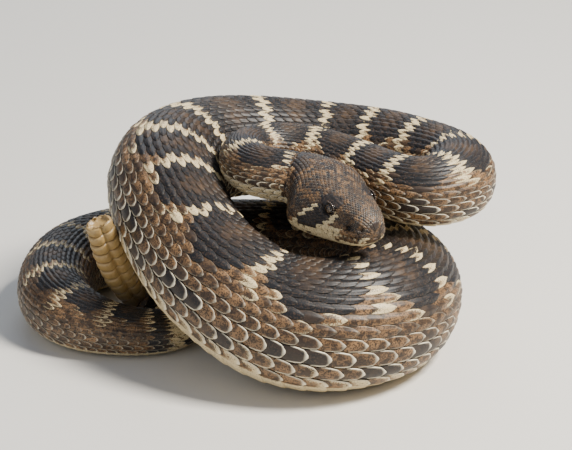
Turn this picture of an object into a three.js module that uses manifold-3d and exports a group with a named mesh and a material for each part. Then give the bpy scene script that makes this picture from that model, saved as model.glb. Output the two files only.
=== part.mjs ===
// A western diamondback rattlesnake, life size, coiled and resting on the ground with its rattle raised.
// Units are millimetres, +Z is up, and the origin is under the middle of the snake, on the ground.
import * as THREE from "three";
import { mergeVertices } from "three/addons/utils/BufferGeometryUtils.js";
import Module from "manifold-3d";

const wasm = await Module();
wasm.setup();

// Driving dimensions
const gap = 0.3;
const origin = new THREE.Vector3(-16.2, -3.97, 0);
const routeStep = 2;
const routeSmoothing = 10;
const bodySides = 14;
const scutePitch = 6;
const scuteLift = 0.55;
const scuteHalfAngle = 56;
const bodyWide = 1.02;
const bodyHigh = 1.0;
const bodyDeep = 0.94;
const floorDeep = 0.92;

// The middle line of the body, from the back of the head to the root of the rattle
const route = [
  [-3, -13.2, 81], [-12, -11.3, 81.6], [-18.8, -4, 81.8], [-21, 7, 81.8], [-17.5, 16.5, 81],
  [-9, 22.5, 80], [2, 24.5, 78.5], [15, 22, 76.4], [29, 16, 73], [41.5, 5, 71],
  [51.5, -3.6, 70.3], [60, -6.8, 70.2], [68, -4.8, 70.2], [74, 1, 70.1], [77, 9, 70],
  [76.5, 18.5, 69.5], [71, 28, 68.8], [61, 37, 68], [44, 49, 66.8], [12, 58, 65.6], [-22, 55, 67.5],
  [-42, 45, 69], [-54, 30, 69], [-57.5, 14, 67], [-54, -6, 61], [-45, -26, 51],
  [-30, -44, 41], [-8, -56, 33.5], [16, -58, 30.3], [36, -48, 29.3], [48, -29, 27.8],
  [50.5, -8, 26], [45, 12, 24.3], [31, 31, 22.4], [8, 44, 21], [-20, 52, 19.6],
  [-50, 54, 18.8], [-80, 51, 18.3], [-101, 38, 17.8], [-109, 16, 17.2], [-107, -8, 16.3],
  [-96, -22, 14.3], [-80, -28, 12.3], [-63, -28.3, 10.8], [-52, -23, 9.8], [-47, -13, 9],
  [-49.5, -4, 8.6], [-56, -0.5, 8.2], [-62.5, -0.5, 8.8], [-67.3, -2, 11.2], [-70, -4.2, 15.4],
];

// Half the thickness of the body at a distance from the back of the head
const girth = [
  [0, 12.3], [50, 12], [80, 13.2], [110, 15.1], [140, 16.9], [180, 19], [230, 21.5], [280, 24],
  [320, 25.6], [350, 26.3], [380, 27], [410, 28.3], [450, 30], [490, 28.8], [530, 26.3], [570, 23.3],
  [610, 21], [660, 19.5], [720, 18], [750, 17], [770, 15.2], [790, 12.6], [810, 10.8], [830, 9.2],
  [845, 7.8], [860, 6.8],
];

// How far the back leans over, in degrees, positive toward the outside of the coil
const lean = [
  [0, 0], [60, 0], [150, 6], [230, -6], [300, -16], [360, -24], [420, -10], [460, 4], [510, 18],
  [580, 8], [700, 0], [860, 0],
];

// The lengths of the body, each with the distance at which it ends and its collision pieces
const lengths = [
  ["neck_front", 26], ["neck_bend", 48], ["neck_rear", 72],
  ["body_01", 106], ["body_02", 132], ["body_03", 156], ["body_04", 196], ["body_05", 240],
  ["body_06", 280], ["body_07", 318], ["body_08", 360], ["body_09", 402], ["body_10", 444],
  ["body_11", 486], ["body_12", 524], ["body_13", 566], ["body_14", 612], ["body_15", 664],
  ["body_16", 704], ["body_17", 738], ["body_18", 772],
  ["tail_root", 800], ["tail_bend", 826], ["tail_tip", null],
];

// The stretch of the body that lies on the ground
const floorFrom = 436;
const floorTo = 828;
const floorBlend = 30;

// The head, with distances measured back from the tip of the snout
const snout = new THREE.Vector3(38, -54.6, 71.5);
const headBend = 12.8;
const headSides = 36;
const headRing = 1.7;
const headForm = [
  // distance, half width, height above and depth below the middle line
  [0.4, 3.4, 2.4, 3.6], [1.6, 5.6, 4.4, 5.2], [3.5, 7.4, 6, 6.6], [6.5, 8.8, 7.4, 7.7], [10, 9.9, 8.5, 8.6],
  [15, 11.6, 9.6, 9.4], [20, 13.6, 10.3, 10], [25, 16, 10.8, 10.4], [30, 18.2, 11.3, 10.6],
  [35, 19.8, 11.8, 10.7], [40, 20.2, 12, 10.8], [45, 19, 12.2, 11], [50, 16.2, 12.3, 11.2],
  [55, 13.4, 12.3, 11.4], [62, 12.55, 12.3, 11.56],
];
const mouthLine = [[0, 1.9], [10, 2.2], [25, 2.8], [34, 4], [43, 6]];
const mouthDeep = 1.1;
const mouthEnd = 42;
const eyeRadius = 3.2;
const eyeBack = 19.6;
const eyeOut = 11;
const eyeUp = 4.5;
const browLong = 6.2;
const browWide = 3.9;
const browThick = 1.5;
const labialPitch = 3.4;
const nostrilRadius = 0.95;
const pitRadius = 1.3;

// The rattle
const rattleTip = new THREE.Vector3(-86, -27, 64.5);
const rattleSegments = 10;
const rattleWide = 6.9;
const rattleThick = 4.7;
const rattleSides = 18;
const rattleGroove = 0.16;

const skinBrown = new THREE.MeshStandardMaterial({ color: 0x6b5640, roughness: 0.62, metalness: 0 });
const skinDark = new THREE.MeshStandardMaterial({ color: 0x4a4038, roughness: 0.62, metalness: 0 });
const eyeGlass = new THREE.MeshStandardMaterial({ color: 0x7a5f35, roughness: 0.08, metalness: 0 });
const horn = new THREE.MeshStandardMaterial({ color: 0xa58a5c, roughness: 0.38, metalness: 0 });

// Value between the rows of a two-column list, eased so that it has no corners
function between(rows, at, column = 1) {
  const last = rows.length - 1;
  if (at <= rows[0][0]) return rows[0][column];
  if (at >= rows[last][0]) return rows[last][column];
  let i = 0;
  while (rows[i + 1][0] < at) i += 1;
  const slope = (k) => {
    const a = Math.max(0, k - 1);
    const b = Math.min(last, k + 1);
    return (rows[b][column] - rows[a][column]) / (rows[b][0] - rows[a][0]);
  };
  const h = rows[i + 1][0] - rows[i][0];
  const t = (at - rows[i][0]) / h;
  const t2 = t * t;
  const t3 = t2 * t;
  return (
    (2 * t3 - 3 * t2 + 1) * rows[i][column] +
    (t3 - 2 * t2 + t) * h * slope(i) +
    (3 * t2 - 2 * t3) * rows[i + 1][column] +
    (t3 - t2) * h * slope(i + 1)
  );
}

function smoothStep(from, to, value) {
  return THREE.MathUtils.smoothstep(value, from, to);
}

const radiusAt = (s) => between(girth, s);

// The route as evenly spaced points, smoothed, and laid on the ground where it rests there
function makeSpine() {
  const curve = new THREE.CatmullRomCurve3(
    route.map((p) => new THREE.Vector3(...p)),
    false,
    "centripetal",
  );
  curve.arcLengthDivisions = 4000;
  const count = Math.round(curve.getLength() / routeStep);
  let points = curve.getSpacedPoints(count);
  for (let pass = 0; pass < routeSmoothing; pass += 1) {
    points = points.map((p, i) => {
      if (i === 0 || i === points.length - 1) return p.clone();
      return p.clone().multiplyScalar(2).add(points[i - 1]).add(points[i + 1]).divideScalar(4);
    });
  }
  const along = [0];
  for (let i = 1; i < points.length; i += 1) {
    along.push(along[i - 1] + points[i].distanceTo(points[i - 1]));
  }
  points.forEach((p, i) => {
    const s = along[i];
    const resting = smoothStep(floorFrom - floorBlend, floorFrom + floorBlend, s);
    const rising = 1 - smoothStep(floorTo - 8, floorTo + 14, s);
    p.z = THREE.MathUtils.lerp(p.z, floorDeep * radiusAt(s), resting * rising);
  });
  return { points, along, length: along[along.length - 1] };
}

const spine = makeSpine();

function pointAt(s) {
  const { points, along } = spine;
  const at = THREE.MathUtils.clamp(s, 0, spine.length);
  let i = Math.min(along.length - 2, Math.floor(at / routeStep));
  while (i > 0 && along[i] > at) i -= 1;
  while (i < along.length - 2 && along[i + 1] < at) i += 1;
  const t = (at - along[i]) / (along[i + 1] - along[i]);
  return points[i].clone().lerp(points[i + 1], t);
}

function headingAt(s) {
  const reach = 3;
  const a = pointAt(Math.max(0, s - reach));
  const b = pointAt(Math.min(spine.length, s + reach));
  return b.sub(a).normalize();
}

// The way the back faces: up, leaned over, and carried round where the tail turns up
const tailTurn = 812;
const tailSteps = 24;
function backAt(s) {
  const heading = headingAt(Math.min(s, tailTurn));
  const back = new THREE.Vector3(0, 0, 1);
  back.addScaledVector(heading, -back.dot(heading)).normalize();
  back.applyAxisAngle(heading, THREE.MathUtils.degToRad(between(lean, s)));
  if (s > tailTurn) {
    let last = heading;
    for (let k = 1; k <= tailSteps; k += 1) {
      const next = headingAt(tailTurn + ((s - tailTurn) * k) / tailSteps);
      back.applyQuaternion(new THREE.Quaternion().setFromUnitVectors(last, next));
      last = next;
    }
  }
  return back;
}

function frameAt(s) {
  const heading = headingAt(s);
  const back = backAt(s);
  const side = new THREE.Vector3().crossVectors(heading, back).normalize();
  return { middle: pointAt(s), heading, back, side };
}

// One ring of the body, with the belly plates stepped out by lift
function bodyRing(s, lift, shift) {
  const frame = frameAt(s);
  const r = radiusAt(s);
  const ring = [];
  for (let k = 0; k < bodySides; k += 1) {
    const angle = (2 * Math.PI * (k + 0.5)) / bodySides;
    const c = Math.cos(angle);
    const off = Math.abs(180 - THREE.MathUtils.radToDeg(angle));
    const plate = off < scuteHalfAngle ? lift : 0;
    const out = r * bodyWide * Math.sin(angle) + Math.sin(angle) * plate;
    const up = c > 0 ? r * bodyHigh * c : -(r * bodyDeep * Math.abs(c) ** 0.86) - Math.abs(c) * plate;
    const p = frame.middle.clone();
    p.addScaledVector(frame.side, out);
    p.addScaledVector(frame.back, up);
    p.addScaledVector(frame.heading, shift);
    p.z = Math.max(0, p.z);
    ring.push(p);
  }
  return ring;
}

// A closed mesh through rings of equal count, with a fan at each end
function loftRings(rings) {
  const n = rings[0].length;
  const vertices = rings.flat();
  const faces = [];
  for (let i = 0; i < rings.length - 1; i += 1) {
    for (let k = 0; k < n; k += 1) {
      const a = i * n + k;
      const b = i * n + ((k + 1) % n);
      faces.push([a, b, b + n], [a, b + n, a + n]);
    }
  }
  const middleOf = (ring) => {
    const sum = new THREE.Vector3();
    ring.forEach((p) => sum.add(p));
    return sum.divideScalar(ring.length);
  };
  const first = vertices.push(middleOf(rings[0])) - 1;
  const last = vertices.push(middleOf(rings[rings.length - 1])) - 1;
  const end = (rings.length - 1) * n;
  for (let k = 0; k < n; k += 1) {
    const next = (k + 1) % n;
    faces.push([first, next, k], [last, end + k, end + next]);
  }
  const geometry = new THREE.BufferGeometry();
  geometry.setAttribute(
    "position",
    new THREE.Float32BufferAttribute(vertices.flatMap((p) => [p.x, p.y, p.z]), 3),
  );
  geometry.setIndex(faces.flat());
  return facingOut(geometry);
}

// Turns the faces over where they point inwards
function facingOut(geometry) {
  const p = geometry.attributes.position;
  const index = geometry.index.array;
  let volume = 0;
  const corner = (i) => new THREE.Vector3().fromBufferAttribute(p, index[i]);
  for (let i = 0; i < index.length; i += 3) {
    volume += corner(i).dot(corner(i + 1).cross(corner(i + 2)));
  }
  if (volume < 0) {
    for (let i = 0; i < index.length; i += 3) {
      [index[i + 1], index[i + 2]] = [index[i + 2], index[i + 1]];
    }
  }
  return geometry;
}

function solidOf(geometry) {
  const plain = geometry.clone();
  plain.deleteAttribute("normal");
  plain.deleteAttribute("uv");
  const merged = mergeVertices(plain, 1e-4);
  return new wasm.Manifold(
    new wasm.Mesh({
      numProp: 3,
      vertProperties: merged.attributes.position.array,
      triVerts: new Uint32Array(merged.index.array),
    }),
  );
}

// The largest closed surface of a solid, as a geometry
function geometryOf(solid) {
  const bodies = solid.decompose();
  const largest = bodies.reduce((a, b) => (b.volume() > a.volume() ? b : a));
  const mesh = largest.getMesh();
  const values = [];
  for (let i = 0; i < mesh.numVert; i += 1) {
    for (let k = 0; k < 3; k += 1) values.push(mesh.vertProperties[i * mesh.numProp + k]);
  }
  const geometry = new THREE.BufferGeometry();
  geometry.setAttribute("position", new THREE.Float32BufferAttribute(values, 3));
  geometry.setIndex(Array.from(mesh.triVerts));
  return geometry;
}

// One length of the body between two distances, with its belly plates
function bodyLength(from, to, firstGap) {
  const rings = [bodyRing(from, scuteLift * 0.5, firstGap)];
  const step = 0.35;
  const first = Math.ceil((from + 1.5) / scutePitch);
  for (let k = first; k * scutePitch < to - 1.5; k += 1) {
    rings.push(bodyRing(k * scutePitch - step, scuteLift, 0));
    rings.push(bodyRing(k * scutePitch + step, 0, 0));
  }
  rings.push(bodyRing(to, scuteLift * 0.5, -gap / 2));
  return loftRings(rings);
}

// The middle line of the head, bent from the neck's heading into the head's own
const neckStart = frameAt(0);
const headTurn = neckStart.middle.clone().addScaledVector(neckStart.heading, -headBend);
const headAhead = snout.clone().sub(headTurn).normalize();
const headRear = headTurn.clone().addScaledVector(headAhead, headBend);
const headStraight = snout.distanceTo(headRear);
const headCurve = new THREE.QuadraticBezierCurve3(neckStart.middle, headTurn, headRear);
const headLength = headStraight + headCurve.getLength();

function headFrame(back) {
  let middle;
  let ahead;
  if (back <= headStraight) {
    middle = snout.clone().addScaledVector(headAhead, -back);
    ahead = headAhead.clone();
  } else {
    const t = 1 - (back - headStraight) / (headLength - headStraight);
    middle = headCurve.getPointAt(Math.max(0, t));
    ahead = headCurve.getTangentAt(Math.max(0, t));
  }
  const up = new THREE.Vector3(0, 0, 1);
  up.addScaledVector(ahead, -up.dot(ahead)).normalize();
  const left = new THREE.Vector3().crossVectors(up, ahead).normalize();
  return { middle, ahead, up, left };
}

// A point of the head at a distance back from the snout, out to a side and up
function headPoint(back, out, up) {
  const frame = headFrame(back);
  return frame.middle.addScaledVector(frame.left, out).addScaledVector(frame.up, up);
}

// One ring of the head: crown, cheek, upper lip, mouth line, lower lip and throat
function headSection(back, shift) {
  const frame = headFrame(back);
  const at = (back * 62) / headLength;
  const wide = between(headForm, at, 1);
  const high = between(headForm, at, 2);
  const deep = between(headForm, at, 3);
  const rear = smoothStep(44, 60, at);
  const open = 1 - smoothStep(mouthEnd - 8, mouthEnd, at);
  const mouth = THREE.MathUtils.lerp(between(mouthLine, at), 0, rear);
  const power = 2 + 0.5 * (1 - rear) * smoothStep(0, 6, at);
  const lip = open * (0.3 + 0.25 * Math.abs(Math.sin((Math.PI * at) / labialPitch)));
  const half = [];
  const upper = 11;
  const lower = 6;
  for (let k = 0; k < upper; k += 1) {
    const a = (Math.PI / 2) * (1 - (k + 0.5) / upper);
    const y = wide * Math.cos(a) ** (2 / power);
    const z = -mouth + (high + mouth) * Math.sin(a) ** (2 / power);
    half.push([y + lip * Math.cos(a) ** 12, z]);
  }
  half.push([wide - mouthDeep * open, -mouth - 0.1]);
  for (let k = 0; k < lower; k += 1) {
    const a = (Math.PI / 2) * ((k + 0.5) / lower);
    const jaw = THREE.MathUtils.lerp(0.965, 1, rear);
    const y = wide * jaw * Math.cos(a) ** 0.85;
    const z = -mouth - (deep - mouth) * Math.sin(a) ** 0.9;
    half.push([y + 0.5 * lip * Math.cos(a) ** 12, z - 0.35 * open]);
  }
  const both = half.concat(half.map(([y, z]) => [-y, z]).reverse());
  return both.map(([y, z]) => {
    const p = frame.middle.clone();
    p.addScaledVector(frame.left, y);
    p.addScaledVector(frame.up, z);
    p.addScaledVector(frame.ahead, shift);
    return p;
  });
}

// A round body of any size, turned to the head's frame
function headBall(back, out, up, sizes, turn, detail = 16) {
  const frame = headFrame(back);
  const ball = new THREE.SphereGeometry(1, detail, Math.round(detail * 0.6));
  ball.scale(...sizes);
  ball.rotateX(turn);
  const basis = new THREE.Matrix4().makeBasis(frame.ahead, frame.left, frame.up);
  ball.applyMatrix4(basis);
  const at = headPoint(back, out, up);
  ball.translate(at.x, at.y, at.z);
  return ball;
}

// The raised rim of scales round an eye
function eyeRim(side) {
  const rim = new THREE.TorusGeometry(eyeRadius + 0.55, 0.7, 6, 16);
  rim.rotateX(Math.PI / 2);
  const frame = headFrame(eyeBack);
  rim.applyMatrix4(new THREE.Matrix4().makeBasis(frame.ahead, frame.left, frame.up));
  const at = headPoint(eyeBack, side * (eyeOut + 1.1), eyeUp);
  rim.translate(at.x, at.y, at.z);
  return rim;
}

function makeHead() {
  const rings = [];
  const count = Math.round((headLength - 0.4) / headRing);
  for (let i = 0; i <= count; i += 1) {
    const back = 0.4 + ((headLength - 0.4) * i) / count;
    rings.push(headSection(back, i === count ? gap / 2 : 0));
  }
  let head = solidOf(loftRings(rings));
  for (const side of [1, -1]) {
    const brow = headBall(eyeBack + 0.4, side * 9.3, 9.3, [browLong, browWide, browThick], -side * 0.22);
    head = head.add(solidOf(brow)).add(solidOf(eyeRim(side)));
  }
  for (const side of [1, -1]) {
    const socket = eyeRadius + gap;
    head = head.subtract(
      solidOf(headBall(eyeBack, side * eyeOut, eyeUp, [socket, socket, socket], 0)),
    );
    const nostril = [nostrilRadius, nostrilRadius, nostrilRadius];
    head = head.subtract(solidOf(headBall(3.4, side * 7.2, 2.4, nostril, 0, 8)));
    const pit = [pitRadius, pitRadius * 1.2, pitRadius];
    head = head.subtract(solidOf(headBall(9.6, side * 10, 1.2, pit, 0, 8)));
  }
  return geometryOf(head);
}

// The rattle: a stack of horny segments, each with a groove down both sides and the last one broken
function makeRattle() {
  const root = frameAt(spine.length);
  const start = root.middle.clone().addScaledVector(root.heading, gap);
  const lead = start.clone().addScaledVector(root.heading, 13);
  const curve = new THREE.QuadraticBezierCurve3(start, lead, rattleTip);
  const shape = [[0, 0.84], [0.16, 0.96], [0.5, 1], [0.84, 0.97]];
  const rings = [];
  const back = root.back.clone();
  let last = root.heading.clone();
  const ringAt = (t, size, ragged) => {
    const middle = curve.getPointAt(t);
    const heading = curve.getTangentAt(t);
    back.applyQuaternion(new THREE.Quaternion().setFromUnitVectors(last, heading));
    last = heading;
    const side = new THREE.Vector3().crossVectors(heading, back).normalize();
    const ring = [];
    for (let k = 0; k < rattleSides; k += 1) {
      const a = (2 * Math.PI * k) / rattleSides;
      const groove = 1 - rattleGroove * Math.exp(-(((Math.cos(a)) / 0.3) ** 2));
      const p = middle.clone();
      p.addScaledVector(back, rattleWide * size * Math.cos(a));
      p.addScaledVector(side, rattleThick * size * groove * Math.sin(a));
      p.addScaledVector(heading, ragged * Math.sin(5 * a) + ragged * 0.5 * Math.sin(3 * a + 1));
      ring.push(p);
    }
    return ring;
  };
  for (let i = 0; i < rattleSegments; i += 1) {
    const taper = 1 - 0.15 * Math.max(0, (i - 4) / (rattleSegments - 5));
    const young = i === 0 ? 0.95 : 1;
    for (const [t, size] of shape) {
      rings.push(ringAt((i + t) / rattleSegments, size * taper * young, 0));
    }
  }
  rings.push(ringAt(1, 0.76, 0.5));
  rings.push(ringAt(0.985, 0.45, 0));
  return loftRings(rings);
}

function makeEye(side) {
  return headBall(eyeBack, side * eyeOut, eyeUp, [eyeRadius, eyeRadius, eyeRadius], 0);
}

const snake = new THREE.Group();
snake.name = "rattlesnake";
snake.position.copy(origin).negate();

function addNode(name, geometry, material) {
  geometry.computeVertexNormals();
  const mesh = new THREE.Mesh(geometry, material);
  mesh.name = name;
  snake.add(mesh);
}

addNode("head", makeHead(), skinBrown);
addNode("eye_left", makeEye(1), eyeGlass);
addNode("eye_right", makeEye(-1), eyeGlass);
let reached = 0;
for (const [name, end] of lengths) {
  const to = end ?? spine.length;
  const firstGap = gap / 2;
  addNode(name, bodyLength(reached, to, firstGap), name.startsWith("tail") ? skinDark : skinBrown);
  reached = to;
}
addNode("rattle", makeRattle(), horn);

export default snake;
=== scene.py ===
# A western diamondback rattlesnake resting in a loose coil, rattle raised beside it.
import math

import bpy
import numpy as np
from mathutils import Matrix, Vector


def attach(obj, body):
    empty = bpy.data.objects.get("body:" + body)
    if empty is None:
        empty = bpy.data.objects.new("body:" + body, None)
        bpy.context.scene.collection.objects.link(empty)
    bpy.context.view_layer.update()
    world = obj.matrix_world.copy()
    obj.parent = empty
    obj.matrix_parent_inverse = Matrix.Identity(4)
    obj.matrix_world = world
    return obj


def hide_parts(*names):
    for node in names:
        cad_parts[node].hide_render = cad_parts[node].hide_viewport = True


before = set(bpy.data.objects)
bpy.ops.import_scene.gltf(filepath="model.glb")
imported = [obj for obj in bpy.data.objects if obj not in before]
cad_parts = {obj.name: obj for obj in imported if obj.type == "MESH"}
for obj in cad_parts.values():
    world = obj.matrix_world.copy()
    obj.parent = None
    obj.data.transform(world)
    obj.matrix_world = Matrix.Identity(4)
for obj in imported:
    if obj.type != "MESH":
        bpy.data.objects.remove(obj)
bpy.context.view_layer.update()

mm = 0.001

# The body, in millimetres, as in the solids
snakeForm = {
    "origin": (-16.2, -3.97, 0.0),
    "routeStep": 2.0,
    "smoothing": 10,
    "wide": 1.02,
    "high": 1.0,
    "deep": 0.94,
    "floorDeep": 0.92,
    "floorFrom": 436,
    "floorTo": 828,
    "floorBlend": 30,
    "tailTurn": 812,
    "route": [
        (-3, -13.2, 81), (-12, -11.3, 81.6), (-18.8, -4, 81.8), (-21, 7, 81.8), (-17.5, 16.5, 81),
        (-9, 22.5, 80), (2, 24.5, 78.5), (15, 22, 76.4), (29, 16, 73), (41.5, 5, 71),
        (51.5, -3.6, 70.3), (60, -6.8, 70.2), (68, -4.8, 70.2), (74, 1, 70.1), (77, 9, 70),
        (76.5, 18.5, 69.5), (71, 28, 68.8), (61, 37, 68), (44, 49, 66.8), (12, 58, 65.6),
        (-22, 55, 67.5), (-42, 45, 69), (-54, 30, 69), (-57.5, 14, 67), (-54, -6, 61),
        (-45, -26, 51), (-30, -44, 41), (-8, -56, 33.5), (16, -58, 30.3), (36, -48, 29.3),
        (48, -29, 27.8), (50.5, -8, 26), (45, 12, 24.3), (31, 31, 22.4), (8, 44, 21),
        (-20, 52, 19.6), (-50, 54, 18.8), (-80, 51, 18.3), (-101, 38, 17.8), (-109, 16, 17.2),
        (-107, -8, 16.3), (-96, -22, 14.3), (-80, -28, 12.3), (-63, -28.3, 10.8), (-52, -23, 9.8),
        (-47, -13, 9), (-49.5, -4, 8.6), (-56, -0.5, 8.2), (-62.5, -0.5, 8.8), (-67.3, -2, 11.2),
        (-70, -4.2, 15.4),
    ],
    "girth": [
        (0, 12.3), (50, 12), (80, 13.2), (110, 15.1), (140, 16.9), (180, 19), (230, 21.5), (280, 24),
        (320, 25.6), (350, 26.3), (380, 27), (410, 28.3), (450, 30), (490, 28.8), (530, 26.3),
        (570, 23.3), (610, 21), (660, 19.5), (720, 18), (750, 17), (770, 15.2), (790, 12.6),
        (810, 10.8), (830, 9.2), (845, 7.8), (860, 6.8),
    ],
    "lean": [
        (0, 0), (60, 0), (150, 6), (230, -6), (300, -16), (360, -24), (420, -10), (460, 4), (510, 18),
        (580, 8), (700, 0), (860, 0),
    ],
}

# The head, in millimetres, with a deeper jaw than in the solids
headShape = {
    "snout": (38, -54.6, 71.5),
    "bend": 12.8,
    "formLength": 62,
    "form": [
        # distance from the snout, half width, height above and depth below the middle line
        (0.4, 3.4, 2.4, 3.7), (1.6, 5.6, 4.4, 5.6), (3.5, 7.4, 6, 7.5), (6.5, 8.8, 7.4, 9.2),
        (10, 9.9, 8.5, 10.8), (15, 11.6, 9.6, 12.5), (20, 13.6, 10.3, 13.7), (25, 16, 10.8, 14.5),
        (30, 18.2, 11.3, 14.9), (35, 19.8, 11.8, 14.9), (40, 20.2, 12, 14.4), (45, 19, 12.2, 13.4),
        (50, 16.2, 12.3, 12.3), (55, 13.4, 12.3, 11.7), (62, 12.55, 12.3, 11.56),
    ],
    "mouthLine": [(0, 2.7), (10, 4.8), (25, 7.2), (34, 8.4), (43, 9.2)],
    "mouthDeep": 1.2,
    "mouthEnd": 42,
    "eyeRadius": 2.75,
    "irisRadius": 2.6,
    "eyeBack": 20.4,
    "eyeOut": 10.75,
    "eyeUp": 4.3,
    # nostril, pit and softer swells: distance back, degrees from the crown, half sizes, depth
    "relief": [
        (3.6, 60, 0.95, 8, 1.3), (9.8, 74, 1.35, 7, 2.2), (12, 68, 5.5, 13, 0.75), (12, 43, 9, 8, -0.35),
        (27.5, 66, 5, 12, 0.6), (21, 0, 15, 24, 0.55), (36, 84, 7, 14, -0.3),
    ],
}


def smooth(low, high, value):
    t = np.clip((np.asarray(value, float) - low) / (high - low), 0, 1)
    return t * t * (3 - 2 * t)


def eased(rows, at, column=1):
    # Value between the rows of a list, eased so that it has no corners
    table = np.array(rows, float)
    x = table[:, 0]
    y = table[:, column]
    k = np.arange(len(x))
    before = np.maximum(k - 1, 0)
    after = np.minimum(k + 1, len(x) - 1)
    slope = (y[after] - y[before]) / (x[after] - x[before])
    at = np.clip(np.asarray(at, float), x[0], x[-1])
    i = np.clip(np.searchsorted(x, at, side="right") - 1, 0, len(x) - 2)
    h = x[i + 1] - x[i]
    t = (at - x[i]) / h
    t2 = t * t
    t3 = t2 * t
    held = (2 * t3 - 3 * t2 + 1) * y[i] + (3 * t2 - 2 * t3) * y[i + 1]
    return held + (t3 - 2 * t2 + t) * h * slope[i] + (t3 - t2) * h * slope[i + 1]


frameStep = 0.5


def lookUp(table, at):
    # A table of rows taken every frameStep, read between two rows
    f = np.clip(np.asarray(at, float) / frameStep, 0, len(table) - 1.000001)
    i = f.astype(int)
    t = (f - i)[..., None]
    return table[i] * (1 - t) + table[i + 1] * t


def unit(v):
    return v / np.maximum(np.linalg.norm(v, axis=-1, keepdims=True), 1e-12)


def turned(v, axis, angle):
    # A vector turned about an axis
    c = math.cos(angle)
    s = math.sin(angle)
    return v * c + np.cross(axis, v) * s + axis * np.dot(axis, v) * (1 - c)


def carried(v, last, way):
    # A vector carried along as the heading turns from last to way
    axis = np.cross(last, way)
    size = np.linalg.norm(axis)
    return turned(v, axis / size, math.asin(min(1, size))) if size > 1e-9 else v


def splinePoints(points, divisions):
    p = np.array(points, float)
    q = np.vstack([2 * p[0] - p[1], p, 2 * p[-1] - p[-2]])
    t = (np.arange(divisions) / divisions)[:, None]
    pieces = []
    for i in range(1, len(q) - 2):
        a, b, c, d = q[i - 1:i + 3]
        ab = np.linalg.norm(b - a) ** 0.5
        bc = np.linalg.norm(c - b) ** 0.5
        cd = np.linalg.norm(d - c) ** 0.5
        m1 = ((b - a) / ab - (c - a) / (ab + bc) + (c - b) / bc) * bc
        m2 = ((c - b) / bc - (d - b) / (bc + cd) + (d - c) / cd) * bc
        held = (2 * t**3 - 3 * t**2 + 1) * b + (3 * t**2 - 2 * t**3) * c
        pieces.append(held + (t**3 - 2 * t**2 + t) * m1 + (t**3 - t**2) * m2)
    return np.vstack(pieces + [p[-1:]])


def lengthsAlong(points):
    return np.concatenate([[0], np.cumsum(np.linalg.norm(np.diff(points, axis=0), axis=1))])


def evenly(points, count):
    along = lengthsAlong(points)
    at = np.linspace(0, along[-1], count + 1)
    return np.stack([np.interp(at, along, points[:, k]) for k in range(3)], 1)


def bodyFrames():
    # Middle, heading, back and side of the body at even steps from the head to the rattle
    form = snakeForm
    curve = splinePoints(form["route"], 80)
    count = round(lengthsAlong(curve)[-1] / form["routeStep"])
    points = evenly(curve, count)
    for _ in range(form["smoothing"]):
        points[1:-1] = (points[:-2] + 2 * points[1:-1] + points[2:]) / 4
    along = lengthsAlong(points)
    resting = smooth(form["floorFrom"] - form["floorBlend"], form["floorFrom"] + form["floorBlend"], along)
    resting = resting * (1 - smooth(form["floorTo"] - 8, form["floorTo"] + 14, along))
    floorZ = form["floorDeep"] * eased(form["girth"], along)
    points[:, 2] += (floorZ - points[:, 2]) * resting
    total = along[-1]
    n = int(total / frameStep) + 1
    s = np.arange(n + 1) * frameStep
    s[-1] = total

    def at(value):
        value = np.clip(value, 0, total)
        return np.stack([np.interp(value, along, points[:, k]) for k in range(3)], -1)

    middle = at(s)
    heading = unit(at(s + 3) - at(s - 3))
    lean = np.radians(eased(form["lean"], s))
    back = np.zeros_like(middle)
    for i in range(len(s)):
        if s[i] <= form["tailTurn"]:
            up = np.array([0, 0, 1.0])
            up = unit(up - heading[i] * np.dot(up, heading[i]))
            back[i] = turned(up, heading[i], lean[i])
        else:
            back[i] = carried(back[i - 1], heading[i - 1], heading[i])
    side = unit(np.cross(heading, back))
    return {"middle": middle, "heading": heading, "back": back, "side": side, "length": total}


body = bodyFrames()
bodyLength = body["length"]
originPoint = np.array(snakeForm["origin"])


def headFrames():
    # Middle, ahead, up and left of the head at even steps back from the snout
    snout = np.array(headShape["snout"], float)
    neck = body["middle"][0]
    turn = neck - body["heading"][0] * headShape["bend"]
    ahead = unit(snout - turn)
    rear = turn + ahead * headShape["bend"]
    straight = np.linalg.norm(snout - rear)
    t = np.linspace(0, 1, 401)[:, None]
    curve = (1 - t) ** 2 * rear + 2 * t * (1 - t) * turn + t**2 * neck
    along = lengthsAlong(curve)
    total = straight + along[-1]
    n = int(total / frameStep) + 1
    back = np.arange(n + 1) * frameStep
    back[-1] = total
    bent = np.clip(back - straight, 0, along[-1])
    onCurve = np.stack([np.interp(bent, along, curve[:, k]) for k in range(3)], -1)
    slope = unit(np.gradient(curve, axis=0))
    curveAhead = -np.stack([np.interp(bent, along, slope[:, k]) for k in range(3)], -1)
    isBent = (back > straight)[:, None]
    middle = np.where(isBent, onCurve, snout - ahead * back[:, None])
    heads = unit(np.where(isBent, curveAhead, ahead))
    up = np.array([0, 0, 1.0])
    ups = unit(up - heads * (heads @ up)[:, None])
    left = np.cross(ups, heads)
    return {"middle": middle, "ahead": heads, "up": ups, "left": left, "length": total}


head = headFrames()
headLength = head["length"]
wholeLength = headLength + bodyLength
coatDepth = 0.85  # how far the skin lies inside the solids, so that the scales reach them


def fromHollow(back, angle, spot):
    # Distance from the middle of a hollow of the head, with 1 at its edge
    return np.hypot((back - spot[0]) / spot[2], (np.abs(angle) - spot[1]) / spot[3])


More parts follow.
